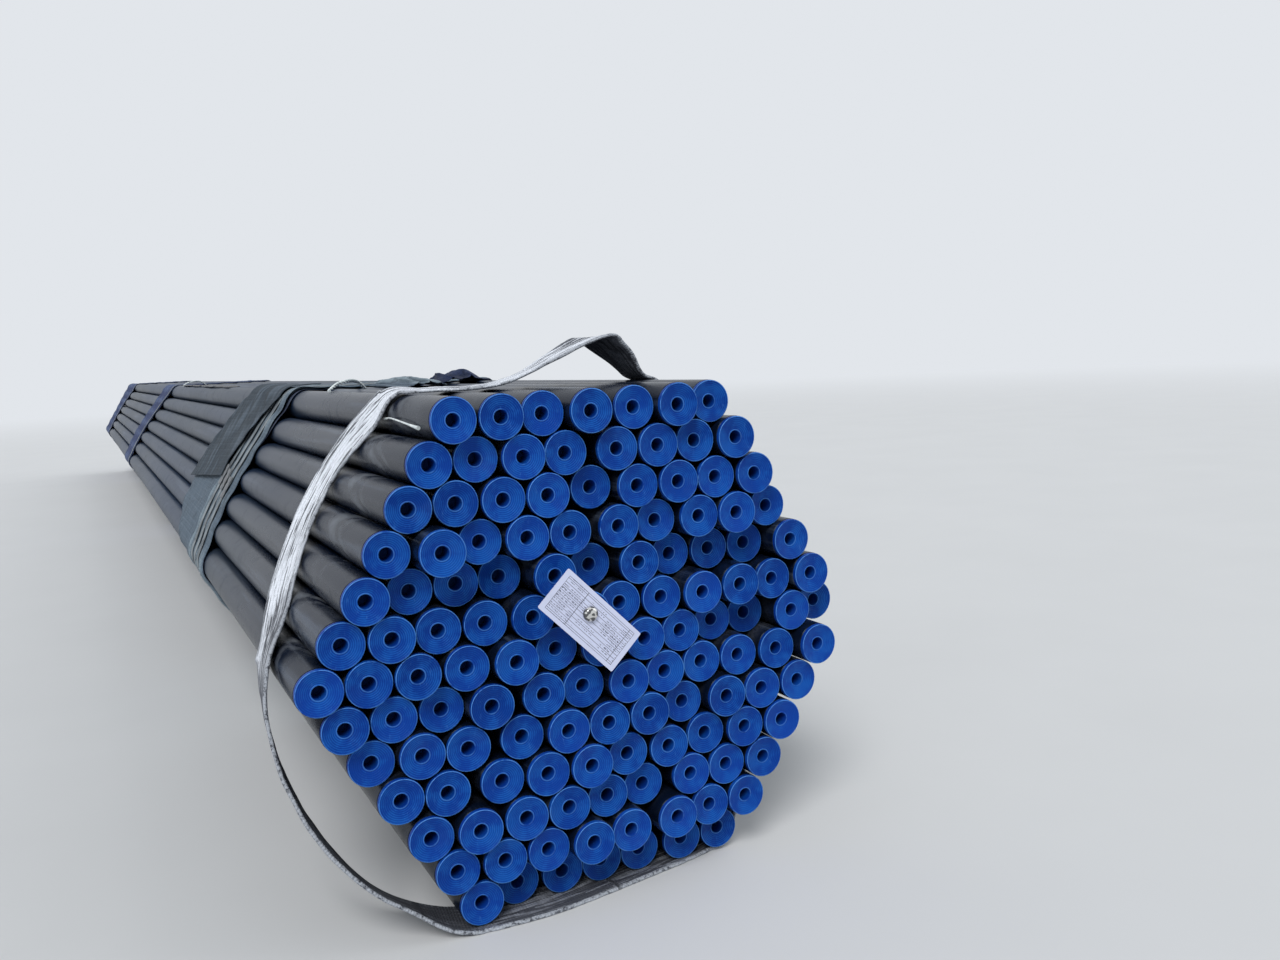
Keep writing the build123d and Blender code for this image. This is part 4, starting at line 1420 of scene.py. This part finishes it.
class BUNDLE_OT_straps(bpy.types.Operator):
    """Draw the straps round the wraps and press their seals"""

    bl_idname = "bundle.straps"
    bl_label = "Straps And Seals"

    def execute(self, context):
        settings = context.scene.bundle_wraps
        material = strap_material(settings)
        steel = steel_material("dull_steel", DULL_STEEL, 0.45, 0.45, bare=0.5)
        hoop = Hoop(50, 8)
        near = in_metres(hoop, NEAR_WRAP_NEAR)
        inner = np.full(hoop.count, STRAP_SEAT)
        width, thick = settings.strap_width, settings.strap_thickness
        pieces = []
        for number, middle in enumerate(near_strap_middles(hoop, near), start=1):
            name = f"near_wrap_strap_{number}"
            pieces.append(
                band_round(name, hoop, middle, width, inner, thick, material)
            )
            self.seal(hoop, middle, STRAP_SEAT + thick, width, number, steel)
        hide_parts("near_wrap_straps")
        for name, stops, node in (
            ("middle_wrap_strap_band", MIDDLE_WRAP_NEAR, "middle_wrap_strap"),
            ("far_wrap_strap_band", FAR_WRAP_NEAR, "far_wrap_strap"),
        ):
            middle = in_metres(hoop, stops, 4) + STRAP_FROM_EDGE
            piece = band_round(name, hoop, middle, width, inner, thick, material)
            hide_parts(node)
            pieces.append(piece)
        for piece in pieces:
            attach(piece, BODY)
        return {"FINISHED"}

    def seal(self, hoop, middle, off, width, number, material):
        """A pressed sleeve over a strap, pinched in two places."""
        target = SEAL_PLACE + SEALS_APART * (number - 2)
        k = int(np.argmin(np.abs(hoop.place - target)))
        base, normal = hoop.base[k], hoop.normal[k]
        along = np.array([-normal[1], normal[0]])
        length, half, rise, clear = 0.034, width / 2 + 0.0022, 0.0014, 0.0002
        stations = np.linspace(-1, 1, 29)
        points = []
        for t in stations:
            pinch = math.exp(-(((abs(t) - 0.42) / 0.10) ** 2))
            flare = 0.04 * t**8
            w = half * (1 - 0.16 * pinch + flare)
            h = rise * (1 - 0.38 * pinch) + clear
            ring = [(-w, 0.0), (-w, h * 0.55), (-w * 0.94, h), (0.0, h * 1.08)]
            ring += [(w * 0.94, h), (w, h * 0.55), (w, 0.0)]
            for across, up in ring:
                x, z = base + along * (t * length / 2) + normal * (off + clear + up)
                points.append((x, middle[k] + across, z))
        count = len(ring)
        faces = grid_faces(len(stations), count, closed_columns=True)
        faces.append(tuple(range(count)))
        faces.append(tuple(len(points) - count + i for i in range(count)))
        piece = new_piece(f"strap_seal_{number}", points, faces, material)
        facing_out(piece)
        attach(piece, BODY)
        if number == 1:
            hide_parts("strap_seals")


def bezier(points, count):
    """Points along one cubic Bezier, without its end."""
    t = np.linspace(0, 1, count, endpoint=False)[:, None]
    a, b, c, d = (np.array(p, float) for p in points)
    return (1 - t) ** 3 * a + 3 * (1 - t) ** 2 * t * b + 3 * (1 - t) * t**2 * c + t**3 * d


class BUNDLE_OT_sling(bpy.types.Operator):
    """Lay the flat lifting sling: under the bundle, hanging beside it, over it and up in an arch"""

    bl_idname = "bundle.sling"
    bl_label = "Lifting Sling"

    def execute(self, context):
        settings = context.scene.bundle_sling
        piece = self.webbing(settings, *self.evened(*self.path(settings)))
        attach(piece, BODY)
        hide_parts("sling")
        return {"FINISHED"}

    def path(self, settings):
        """The sling's middle line (x, z), with its y, lean, and soil with painted shade at each
        point.
        """
        off = PIPE_R + SLING_GAP + settings.thickness / 2
        low = settings.thickness / 2
        high = PIPES_TOP + SLING_GAP + settings.thickness / 2
        touch = CORNERS[0][0] - 0.003
        hoop = Hoop(24, 7)
        line, place = [], []

        def add(points, first, last):
            line.extend(points)
            place.extend(np.linspace(first, last, len(points), endpoint=False))

        def follow(first, last):
            for i in range(first, last + 1):
                line.append(hoop.base[i] + hoop.normal[i] * off)
                place.append(hoop.place[i])

        def first_at(corner):
            return min(i for i in range(hoop.count) if hoop.place[i] == corner)

        def last_at(corner):
            return max(i for i in range(hoop.count) if hoop.place[i] == corner)

        leaves = next(i for i in range(first_at(1.0), last_at(1.0) + 1) if hoop.normal[i][1] > 0.28)
        normal = hoop.normal[leaves]
        start = hoop.base[leaves] + normal * off
        up_pull, floor_pull = 0.112, 0.085
        pull = start + np.array([-normal[1], normal[0]]) * up_pull
        add(np.linspace((0.0, low), (touch, low), 14, endpoint=False), 0.0, 0.6)
        add(bezier([(touch, low), (touch - floor_pull, low), pull, start], 26), 0.6, 1.0)
        follow(leaves, last_at(2.0))
        arch_left, arch_top = -0.062, 0.080
        flat = np.linspace((CORNERS[2][0] + 0.004, high), (arch_left, high), 6, endpoint=False)
        add(flat, 2.02, 2.26)
        peak = high + settings.arch
        right = CORNERS[3][0]
        rise = [
            (arch_left, high),
            (arch_left + 0.062, high + 0.002),
            (arch_top - 0.034, peak - 0.011),
            (arch_top, peak),
        ]
        fall = [
            (arch_top, peak),
            (arch_top + 0.010, peak - 0.003),
            (right - 0.016, high + 0.012),
            (right, high),
        ]
        add(bezier(rise, 20), 2.26, 2.75)
        add(bezier(fall, 14), 2.75, 3.0)
        follow(first_at(3.0), last_at(5.0))
        add(np.linspace((CORNERS[5][0] - 0.004, low), (0.0, low), 14, endpoint=False), 5.04, 6.0)
        line, place = np.array(line), np.array(place)
        drift = NEAR_END + at_places(place, SLING_DRIFT) / 1000
        # The worn values are soil with painted shade.
        lean, worn = np.radians(at_places(place, SLING_LEAN)), at_places(place, SLING_SOIL_AND_SHADE)
        return line, drift, lean, worn

    def evened(self, path, drift, lean, worn):
        """The middle line in equal steps: each one's distance along it, point, lean, and soil with
        painted shade.
        """
        points = np.column_stack([path[:, 0], drift, path[:, 1]])
        runs = np.linalg.norm(np.roll(points, -1, 0) - points, axis=1)
        girth = runs.sum()
        at = np.concatenate([[0.0], np.cumsum(runs)])
        even = np.linspace(0, girth, int(girth / SLING_STEP), endpoint=False)

        def spread(values):
            return np.interp(even, at, np.concatenate([values, values[:1]]))

        columns = [smoothed(spread(points[:, k]), reach) for k, reach in enumerate((1, 5, 1))]
        return even, np.column_stack(columns), smoothed(spread(lean), 5), spread(worn)

    def directions(self, middle):
        """Unit vectors across the webbing and outwards from the bundle, at each point."""
        ahead = np.roll(middle, -1, 0) - np.roll(middle, 1, 0)
        ahead /= np.linalg.norm(ahead, axis=1)[:, None]
        side = np.array([0.0, 1.0, 0.0]) - ahead * ahead[:, 1:2]
        side /= np.linalg.norm(side, axis=1)[:, None]
        out = np.cross(side, ahead)
        centre = np.array([0.0, 0.0, CORNERS[1][1]])
        flip = np.sign(((middle - centre) * [1, 0, 1] * out).sum(1))
        out *= np.where(flip == 0, 1, flip)[:, None]
        return side, out

    def section(self, thick):
        """The webbing's flat section, thin at its edges: shares of the half width, and heights."""
        right_half = np.array([0.2, 0.4, 0.6, 0.8, 0.93, 0.985, 1.0])
        right_rim = np.array([0.98, 0.93, 0.98, 0.94, 0.98, 0.62, 0.18])
        across = np.concatenate([-right_half[::-1], [0.0], right_half])
        rim = np.concatenate([right_rim[::-1], [0.93], right_rim])
        heights = np.concatenate([rim, -rim[::-1]]) * thick / 2
        return np.concatenate([across, across[::-1]]), heights

    def webbing(self, settings, even, middle, lean, worn):
        """The webbing's mesh: a closed loop with ripples, ragged edges, and its soil with painted
        shade at each point.
        """
        count, half, thick = len(even), settings.width / 2, settings.thickness
        side, out = self.directions(middle)
        loop_across, loop_up = self.section(thick)
        over = np.clip((middle[:, 2] - PIPES_TOP - 0.006) / 0.03, 0, 1)
        skew = soft(over) * 0.011
        free = soft(np.clip((middle[:, 2] - thick / 2) / 0.06, 0, 1))
        hanging = (middle[:, 0] < CORNERS[0][0]) & (middle[:, 2] < CORNERS[1][1] - 0.005)
        hanging = smoothed(hanging.astype(float), 5)
        points, uv, inner, soil_and_shade = [], [], [], []
        for i in range(count):
            tilt = lean[i]
            across_way = side[i] * math.cos(tilt) + out[i] * math.sin(tilt)
            up_way = out[i] * math.cos(tilt) - side[i] * math.sin(tilt)
            clear = abs(math.sin(tilt)) * half * 0.98
            lifted = middle[i] + out[i] * (clear * free[i] * (1 - hanging[i]))
            lifted[2] += clear * (1 - free[i])
            ripple = noise_at(even[i] * 22, 1.0, 0.0) * 0.0011
            for a, up in zip(loop_across, loop_up):
                wave = noise_at(even[i] * 34, a * 1.5, 3.0) * 0.0012 * abs(a)
                lift = (abs(ripple) + max(0.0, wave)) * free[i]
                ragged = noise_at(even[i] * 90, 4.0, a) + 0.8 * noise_at(even[i] * 240, 9.0, a)
                edge = a * half * (1 + 0.020 * ragged)
                x, y, z = lifted + across_way * edge + up_way * up + out[i] * lift
                points.append((x - a * skew[i], y, max(z, 0.0001)))
                uv.append((a * half, even[i]))
                inner.append(1.0 if up < 0 else 0.0)
                soil_and_shade.append(worn[i])
        faces = grid_faces(count, len(loop_across), closed_rows=True, closed_columns=True)
        material, values = webbing_material(settings), {"inner": inner, "worn": soil_and_shade}
        piece = new_piece("sling_webbing", points, faces, material, uv, values)
        facing_out(piece)
        return piece


class BUNDLE_OT_tag(bpy.types.Operator):
    """Finish the tag card and its bolt"""

    bl_idname = "bundle.tag"
    bl_label = "Tag And Bolt"

    def execute(self, context):
        settings = context.scene.bundle_tag
        for node, material in (
            ("tag", card_material(settings)),
            ("tag_bolt", steel_material("bright_steel", BRIGHT_STEEL, 0.16, 0.10, 0.85)),
        ):
            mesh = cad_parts[node].data
            mesh.materials.clear()
            mesh.materials.append(material)
        return {"FINISHED"}


def tie_tree():
    """Two strands twisted about a path."""
    tree = TreeMaker("Twisted Tie")
    tree.input("Strand Radius", "NodeSocketFloat", 0.0012)
    tree.input("Spacing", "NodeSocketFloat", 0.0014)
    tree.input("Turns", "NodeSocketFloat", 9.0)
    tree.input("Material", "NodeSocketMaterial")
    factor = tree.node("GeometryNodeSplineParameter")
    turned_by = tree.node(
        "ShaderNodeMath", {"operation": "MULTIPLY"}, {0: tree.get("Turns"), 1: 2 * math.pi}
    )
    tilt = tree.node("ShaderNodeMath", {"operation": "MULTIPLY"}, {0: factor, 1: turned_by})
    even = tree.node(
        "GeometryNodeResampleCurve",
        {"mode": "COUNT"},
        {"Curve": tree.get("Geometry"), "Count": 150},
    )
    wound = tree.node("GeometryNodeSetCurveTilt", inputs={"Curve": even, "Tilt": tilt})
    round_wire = tree.node(
        "GeometryNodeCurvePrimitiveCircle",
        {"mode": "RADIUS"},
        {"Resolution": 8, "Radius": tree.get("Strand Radius")},
    )
    sides = []
    for sign in (-1.0, 1.0):
        shift = tree.node(
            "ShaderNodeMath", {"operation": "MULTIPLY"}, {0: tree.get("Spacing"), 1: sign}
        )
        way = tree.node("ShaderNodeCombineXYZ", inputs={0: shift})
        sides.append(
            tree.node("GeometryNodeTransform", inputs={"Geometry": round_wire, "Translation": way})
        )
    both = tree.tree.nodes.new("GeometryNodeJoinGeometry")
    for strand in sides:
        tree.tree.links.new(strand, both.inputs[0])
    strands = tree.node(
        "GeometryNodeCurveToMesh",
        inputs={"Curve": wound, "Profile Curve": both.outputs[0], "Fill Caps": True},
    )
    tree.end(strands)
    return tree


def smooth_curve(name, places):
    """A curve object through places."""
    curve = bpy.data.curves.new(name, "CURVE")
    curve.dimensions = "3D"
    spline = curve.splines.new("NURBS")
    spline.points.add(len(places) - 1)
    for point, place in zip(spline.points, places):
        point.co = (*place, 1.0)
    spline.order_u = 3
    spline.use_endpoint_u = True
    piece = bpy.data.objects.new(name, curve)
    bpy.context.scene.collection.objects.link(piece)
    return piece


class BUNDLE_OT_ties(bpy.types.Operator):
    """Twist the two pale ties on the top row, and lay the thin tie beside the sling"""

    bl_idname = "bundle.ties"
    bl_label = "Ties"

    def execute(self, context):
        material = plain_plastic("tie_plastic", TIE_PALE, TIE_BRIGHT, 0.20)
        tree = tie_tree()
        low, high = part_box("ties")
        x, z = CORNERS[2][0], PIPES_TOP + 0.0024
        shape = (
            (-0.006, -0.010, -0.0014), (0.004, 0.006, 0.004), (0.012, 0.022, 0.007),
            (0.023, 0.030, 0.009), (0.034, 0.048, 0.010), (0.044, 0.070, 0.009),
            (0.052, 0.088, 0.007), (0.060, 0.100, 0.003), (0.067, 0.112, -0.003),
        )
        length = 0.1135
        pieces = []
        for number, start in enumerate((low.y + 0.0015, high.y - length), start=1):
            piece = smooth_curve(
                f"tie_{number}",
                [(x + across, start + along, z + up) for across, along, up in shape],
            )
            tree.put(piece, Material=material)
            pieces.append(evaluated(piece))
        pieces.append(self.tail(material))
        for piece in pieces:
            piece.data.polygons.foreach_set("use_smooth", [True] * len(piece.data.polygons))
            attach(piece, BODY)
        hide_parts("ties")
        return {"FINISHED"}

    def tail(self, material):
        """The thin tie beside the sling, from its place along, round and off the top left pipe."""
        # In millimetres from the near end, degrees and millimetres from the pipe's axis.
        bends = (
            (141, 184, 22.4), (128, 182, 23.0), (110, 179, 25.0), (88, 180, 26.5), (64, 184, 26.0),
            (42, 190, 24.5), (22, 196, 23.0),
        )
        places = []
        for along, turn, off in bends:
            angle, reach = math.radians(turn), off / 1000
            x, z = CORNERS[2][0] + reach * math.cos(angle), CORNERS[2][1] + reach * math.sin(angle)
            places.append((x, NEAR_END + along / 1000, z))
        piece = smooth_curve("sling_tail", places)
        piece.data.bevel_depth = 0.0009
        piece.data.bevel_resolution = 3
        piece.data.use_fill_caps = True
        for point, thick in zip(piece.data.splines[0].points, (1.6, 1.2, 1.0, 0.9, 0.9, 1.2, 2.2)):
            point.radius = thick
        piece = evaluated(piece)
        piece.data.materials.clear()
        piece.data.materials.append(material)
        return piece


def bunched(name, node, material, folds, seed):
    """A gathered end of cloth over a CAD block: pleats that run together towards its ends."""
    low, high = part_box(node)
    rows, columns = 56, 74
    middle, half = (low.x + high.x) / 2, (high.x - low.x) / 2
    points, uv, crest = [], [], []
    for i in range(rows):
        t = i / (rows - 1)
        y = low.y + (high.y - low.y) * t
        taper = 0.62 + 0.38 * math.sin(math.pi * min(1.0, 0.15 + t))
        rise = (high.z - low.z) * (0.35 + 0.65 * math.sin(math.pi * (0.12 + 0.76 * t)))
        sway = 0.006 * noise_at(t * 3, seed, 0.0)
        for j in range(columns):
            u = 2 * j / (columns - 1) - 1
            pleat = 0.5 + 0.5 * math.sin(
                folds * math.pi * (u + 0.25 * noise_at(u * 2, t * 2.2, seed))
            )
            hump = max(0.0, 1 - abs(u) ** 2.6)
            crumple = 0.5 + 0.5 * noise_at(u * 4, t * 9, seed + 2)
            z = low.z + 0.0006 + rise * hump * (0.30 + 0.52 * pleat * pleat + 0.18 * crumple)
            spread = u + 0.06 * math.sin(folds * 2 * math.pi * u)
            x = middle + sway + half * taper * spread * 0.97
            points.append((x, y + 0.004 * noise_at(u * 5, t * 4, seed + 4), z))
            uv.append((u * half * 1.6, y))
            # The crest paints light on the tops of the pleats.
            crest.append(pleat * hump)
    piece = new_piece(name, points, grid_faces(rows, columns), material, uv, {"crest": crest})
    facing_up(piece)
    give_wall(piece, 0.0007, offset=1.0)
    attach(piece, BODY)
    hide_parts(node)


class BUNDLE_OT_cloth_ends(bpy.types.Operator):
    """Gather the two loose ends of cloth on the top row"""

    bl_idname = "bundle.cloth_ends"
    bl_label = "Gathered Cloth Ends"

    def execute(self, context):
        settings = context.scene.bundle_wraps
        navy = woven_material("navy_woven_cloth", NAVY, NAVY_CREST_LIGHT, dirt=0.5)
        grey = woven_material("grey_woven_cloth", settings.grey, GREY_CREST_LIGHT, dirt=0.55)
        bunched("near_wrap_end_cloth", "near_wrap_end", grey, 3.5, 2.0)
        bunched("near_lining_end_cloth", "near_lining_end", navy, 2.5, 6.0)
        return {"FINISHED"}


class BUNDLE_OT_top_strip(bpy.types.Operator):
    """Lay the black strip along the top left edge"""

    bl_idname = "bundle.top_strip"
    bl_label = "Black Strip"

    def execute(self, context):
        low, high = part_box("top_strip")
        material = plain_plastic("black_strip", STRIP_BLACK, STRIP_GREY, 0.34)
        rows, columns = 130, 7
        points, uv = [], []
        for i in range(rows):
            t = i / (rows - 1)
            y = low.y + (high.y - low.y) * t
            drift = 0.005 * noise_at(t * 5, 1.0, 0.0)
            for j in range(columns):
                u = j / (columns - 1)
                lift = 0.0035 * max(0.0, noise_at(t * 16, u * 0.8, 2.0)) + 0.0008 * (2 * u - 1) ** 2
                points.append((low.x + (high.x - low.x) * u + drift, y, low.z + 0.0005 + lift))
                uv.append((u * (high.x - low.x), y))
        piece = new_piece(
            "top_black_strip", points, grid_faces(rows, columns), material, uv
        )
        facing_up(piece)
        give_wall(piece, 0.0011, offset=1.0)
        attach(piece, BODY)
        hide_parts("top_strip")
        return {"FINISHED"}


# The camera, fitted to the photograph: its focal length in pixels of the picture's width.

FOCAL_PIXELS, PHOTO_PIXELS = 1100.0, 1280.0
CAMERA_AT = (-0.4218, -3.9349, 0.5214)
CAMERA_AHEAD = (0.4486, 0.8865, -0.1138)
CAMERA_UP = (0.0954, 0.0792, 0.9923)


class BUNDLE_OT_stage(bpy.types.Operator):
    """Set the pale floor, the soft lights and the camera"""

    bl_idname = "bundle.stage"
    bl_label = "Stage"

    def execute(self, context):
        scene = context.scene
        scene.view_settings.view_transform = "Standard"
        self.floor()
        self.lights(scene)
        self.camera(scene)
        return {"FINISHED"}

    def floor(self):
        """A pale floor that fades into the background."""
        reach, fades_from, fades_to = 40.0, 5.0, 16.0
        corners = [(-reach, -reach, 0), (reach, -reach, 0), (reach, reach, 0), (-reach, reach, 0)]
        floor = new_piece("floor", corners, [(0, 1, 2, 3)], None, sharp=True)
        shade = Shade("floor_paint")
        at = shade.place()
        away = shade.node("ShaderNodeVectorMath", {"operation": "LENGTH"}, {0: at}, output="Value")
        cloud = shade.noise(at, 3.0, 3.0)
        tone = shade.mix(cloud, FLOOR_DARK, FLOOR_LIGHT)
        shade.set(base_color=tone, roughness=0.9)
        glow = shade.tree.nodes.new("ShaderNodeEmission")
        glow.inputs["Color"].default_value = (*BACKGROUND, 1)
        blend = shade.tree.nodes.new("ShaderNodeMixShader")
        shade.feed(blend.inputs[0], shade.step(away, fades_from, fades_to))
        shade.tree.links.new(shade.shader.outputs[0], blend.inputs[1])
        shade.tree.links.new(glow.outputs[0], blend.inputs[2])
        shade.tree.links.new(blend.outputs[0], shade.out.inputs["Surface"])
        floor.data.materials.append(shade.material)

    def lights(self, scene):
        """A pale world and two soft lamps."""
        world = bpy.data.worlds.new("studio")
        world.use_nodes = True
        scene.world = world
        nodes, links = world.node_tree.nodes, world.node_tree.links
        nodes.clear()
        rays = nodes.new("ShaderNodeLightPath")
        seen = nodes.new("ShaderNodeMath")
        seen.operation = "MAXIMUM"
        links.new(rays.outputs["Is Camera Ray"], seen.inputs[0])
        mirrored = nodes.new("ShaderNodeMath")
        mirrored.operation = "MAXIMUM"
        links.new(rays.outputs["Is Glossy Ray"], mirrored.inputs[0])
        links.new(rays.outputs["Is Transmission Ray"], mirrored.inputs[1])
        links.new(mirrored.outputs[0], seen.inputs[1])
        light, shown = nodes.new("ShaderNodeBackground"), nodes.new("ShaderNodeBackground")
        blend = nodes.new("ShaderNodeMixShader")
        light.inputs["Color"].default_value = (*SKY, 1)
        light.inputs["Strength"].default_value = 0.52
        shown.inputs["Color"].default_value = (*BACKGROUND, 1)
        shown.inputs["Strength"].default_value = 1.0
        out = nodes.new("ShaderNodeOutputWorld")
        links.new(seen.outputs[0], blend.inputs[0])
        links.new(light.outputs[0], blend.inputs[1])
        links.new(shown.outputs[0], blend.inputs[2])
        links.new(blend.outputs[0], out.inputs["Surface"])
        for name, strength, angle, aim in (
            ("key", 2.1, 26.0, (0.45, 0.62, -0.78)),
            ("fill", 0.5, 60.0, (-0.7, 0.1, -0.6)),
        ):
            lamp = bpy.data.lights.new(name, "SUN")
            lamp.energy = strength
            lamp.angle = math.radians(angle)
            holder = bpy.data.objects.new(name, lamp)
            holder.rotation_euler = Vector(aim).to_track_quat("-Z", "Y").to_euler()
            scene.collection.objects.link(holder)

    def camera(self, scene):
        """The camera, at the photograph's angle."""
        data = bpy.data.cameras.new("camera")
        data.sensor_width = 36.0
        data.sensor_fit = "HORIZONTAL"
        data.lens = FOCAL_PIXELS / PHOTO_PIXELS * data.sensor_width
        data.clip_end = 200.0
        camera = bpy.data.objects.new("camera", data)
        ahead = Vector(CAMERA_AHEAD).normalized()
        right = ahead.cross(Vector(CAMERA_UP)).normalized()
        up = right.cross(ahead)
        turn = Matrix((right, up, -ahead)).transposed().to_4x4()
        camera.matrix_world = Matrix.Translation(CAMERA_AT) @ turn
        scene.collection.objects.link(camera)
        scene.camera = camera


class BUNDLE_PT_panel(bpy.types.Panel):
    """The bundle's settings and steps"""

    bl_idname = "BUNDLE_PT_panel"
    bl_label = "Pipe Bundle"
    bl_space_type = "VIEW_3D"
    bl_region_type = "UI"
    bl_category = "Pipe Bundle"

    def draw(self, context):
        for group in GROUPS:
            box = self.layout.box()
            settings = getattr(context.scene, group)
            for name in settings.__annotations__:
                box.prop(settings, name)
        for operator in OPERATORS:
            self.layout.operator(operator.bl_idname)


GROUPS = {
    "bundle_pipes": BundlePipes,
    "bundle_plugs": BundlePlugs,
    "bundle_wraps": BundleWraps,
    "bundle_sling": BundleSling,
    "bundle_tag": BundleTag,
}
OPERATORS = (
    BUNDLE_OT_pipes,
    BUNDLE_OT_plugs,
    BUNDLE_OT_near_wrap,
    BUNDLE_OT_blue_wraps,
    BUNDLE_OT_straps,
    BUNDLE_OT_sling,
    BUNDLE_OT_tag,
    BUNDLE_OT_ties,
    BUNDLE_OT_cloth_ends,
    BUNDLE_OT_top_strip,
    BUNDLE_OT_stage,
)


def register():
    """Register the classes and put the settings on the scene."""
    for cls in (*GROUPS.values(), *OPERATORS, BUNDLE_PT_panel):
        bpy.utils.register_class(cls)
    for name, cls in GROUPS.items():
        setattr(bpy.types.Scene, name, PointerProperty(type=cls))


def unregister():
    """Take the settings off the scene and unregister the classes."""
    for name in GROUPS:
        delattr(bpy.types.Scene, name)
    for cls in reversed((*GROUPS.values(), *OPERATORS, BUNDLE_PT_panel)):
        bpy.utils.unregister_class(cls)


def main():
    """Dress the frame."""
    register()
    for operator in OPERATORS:
        group, name = operator.bl_idname.split(".")
        getattr(getattr(bpy.ops, group), name)()


if __name__ == "__main__":
    main()
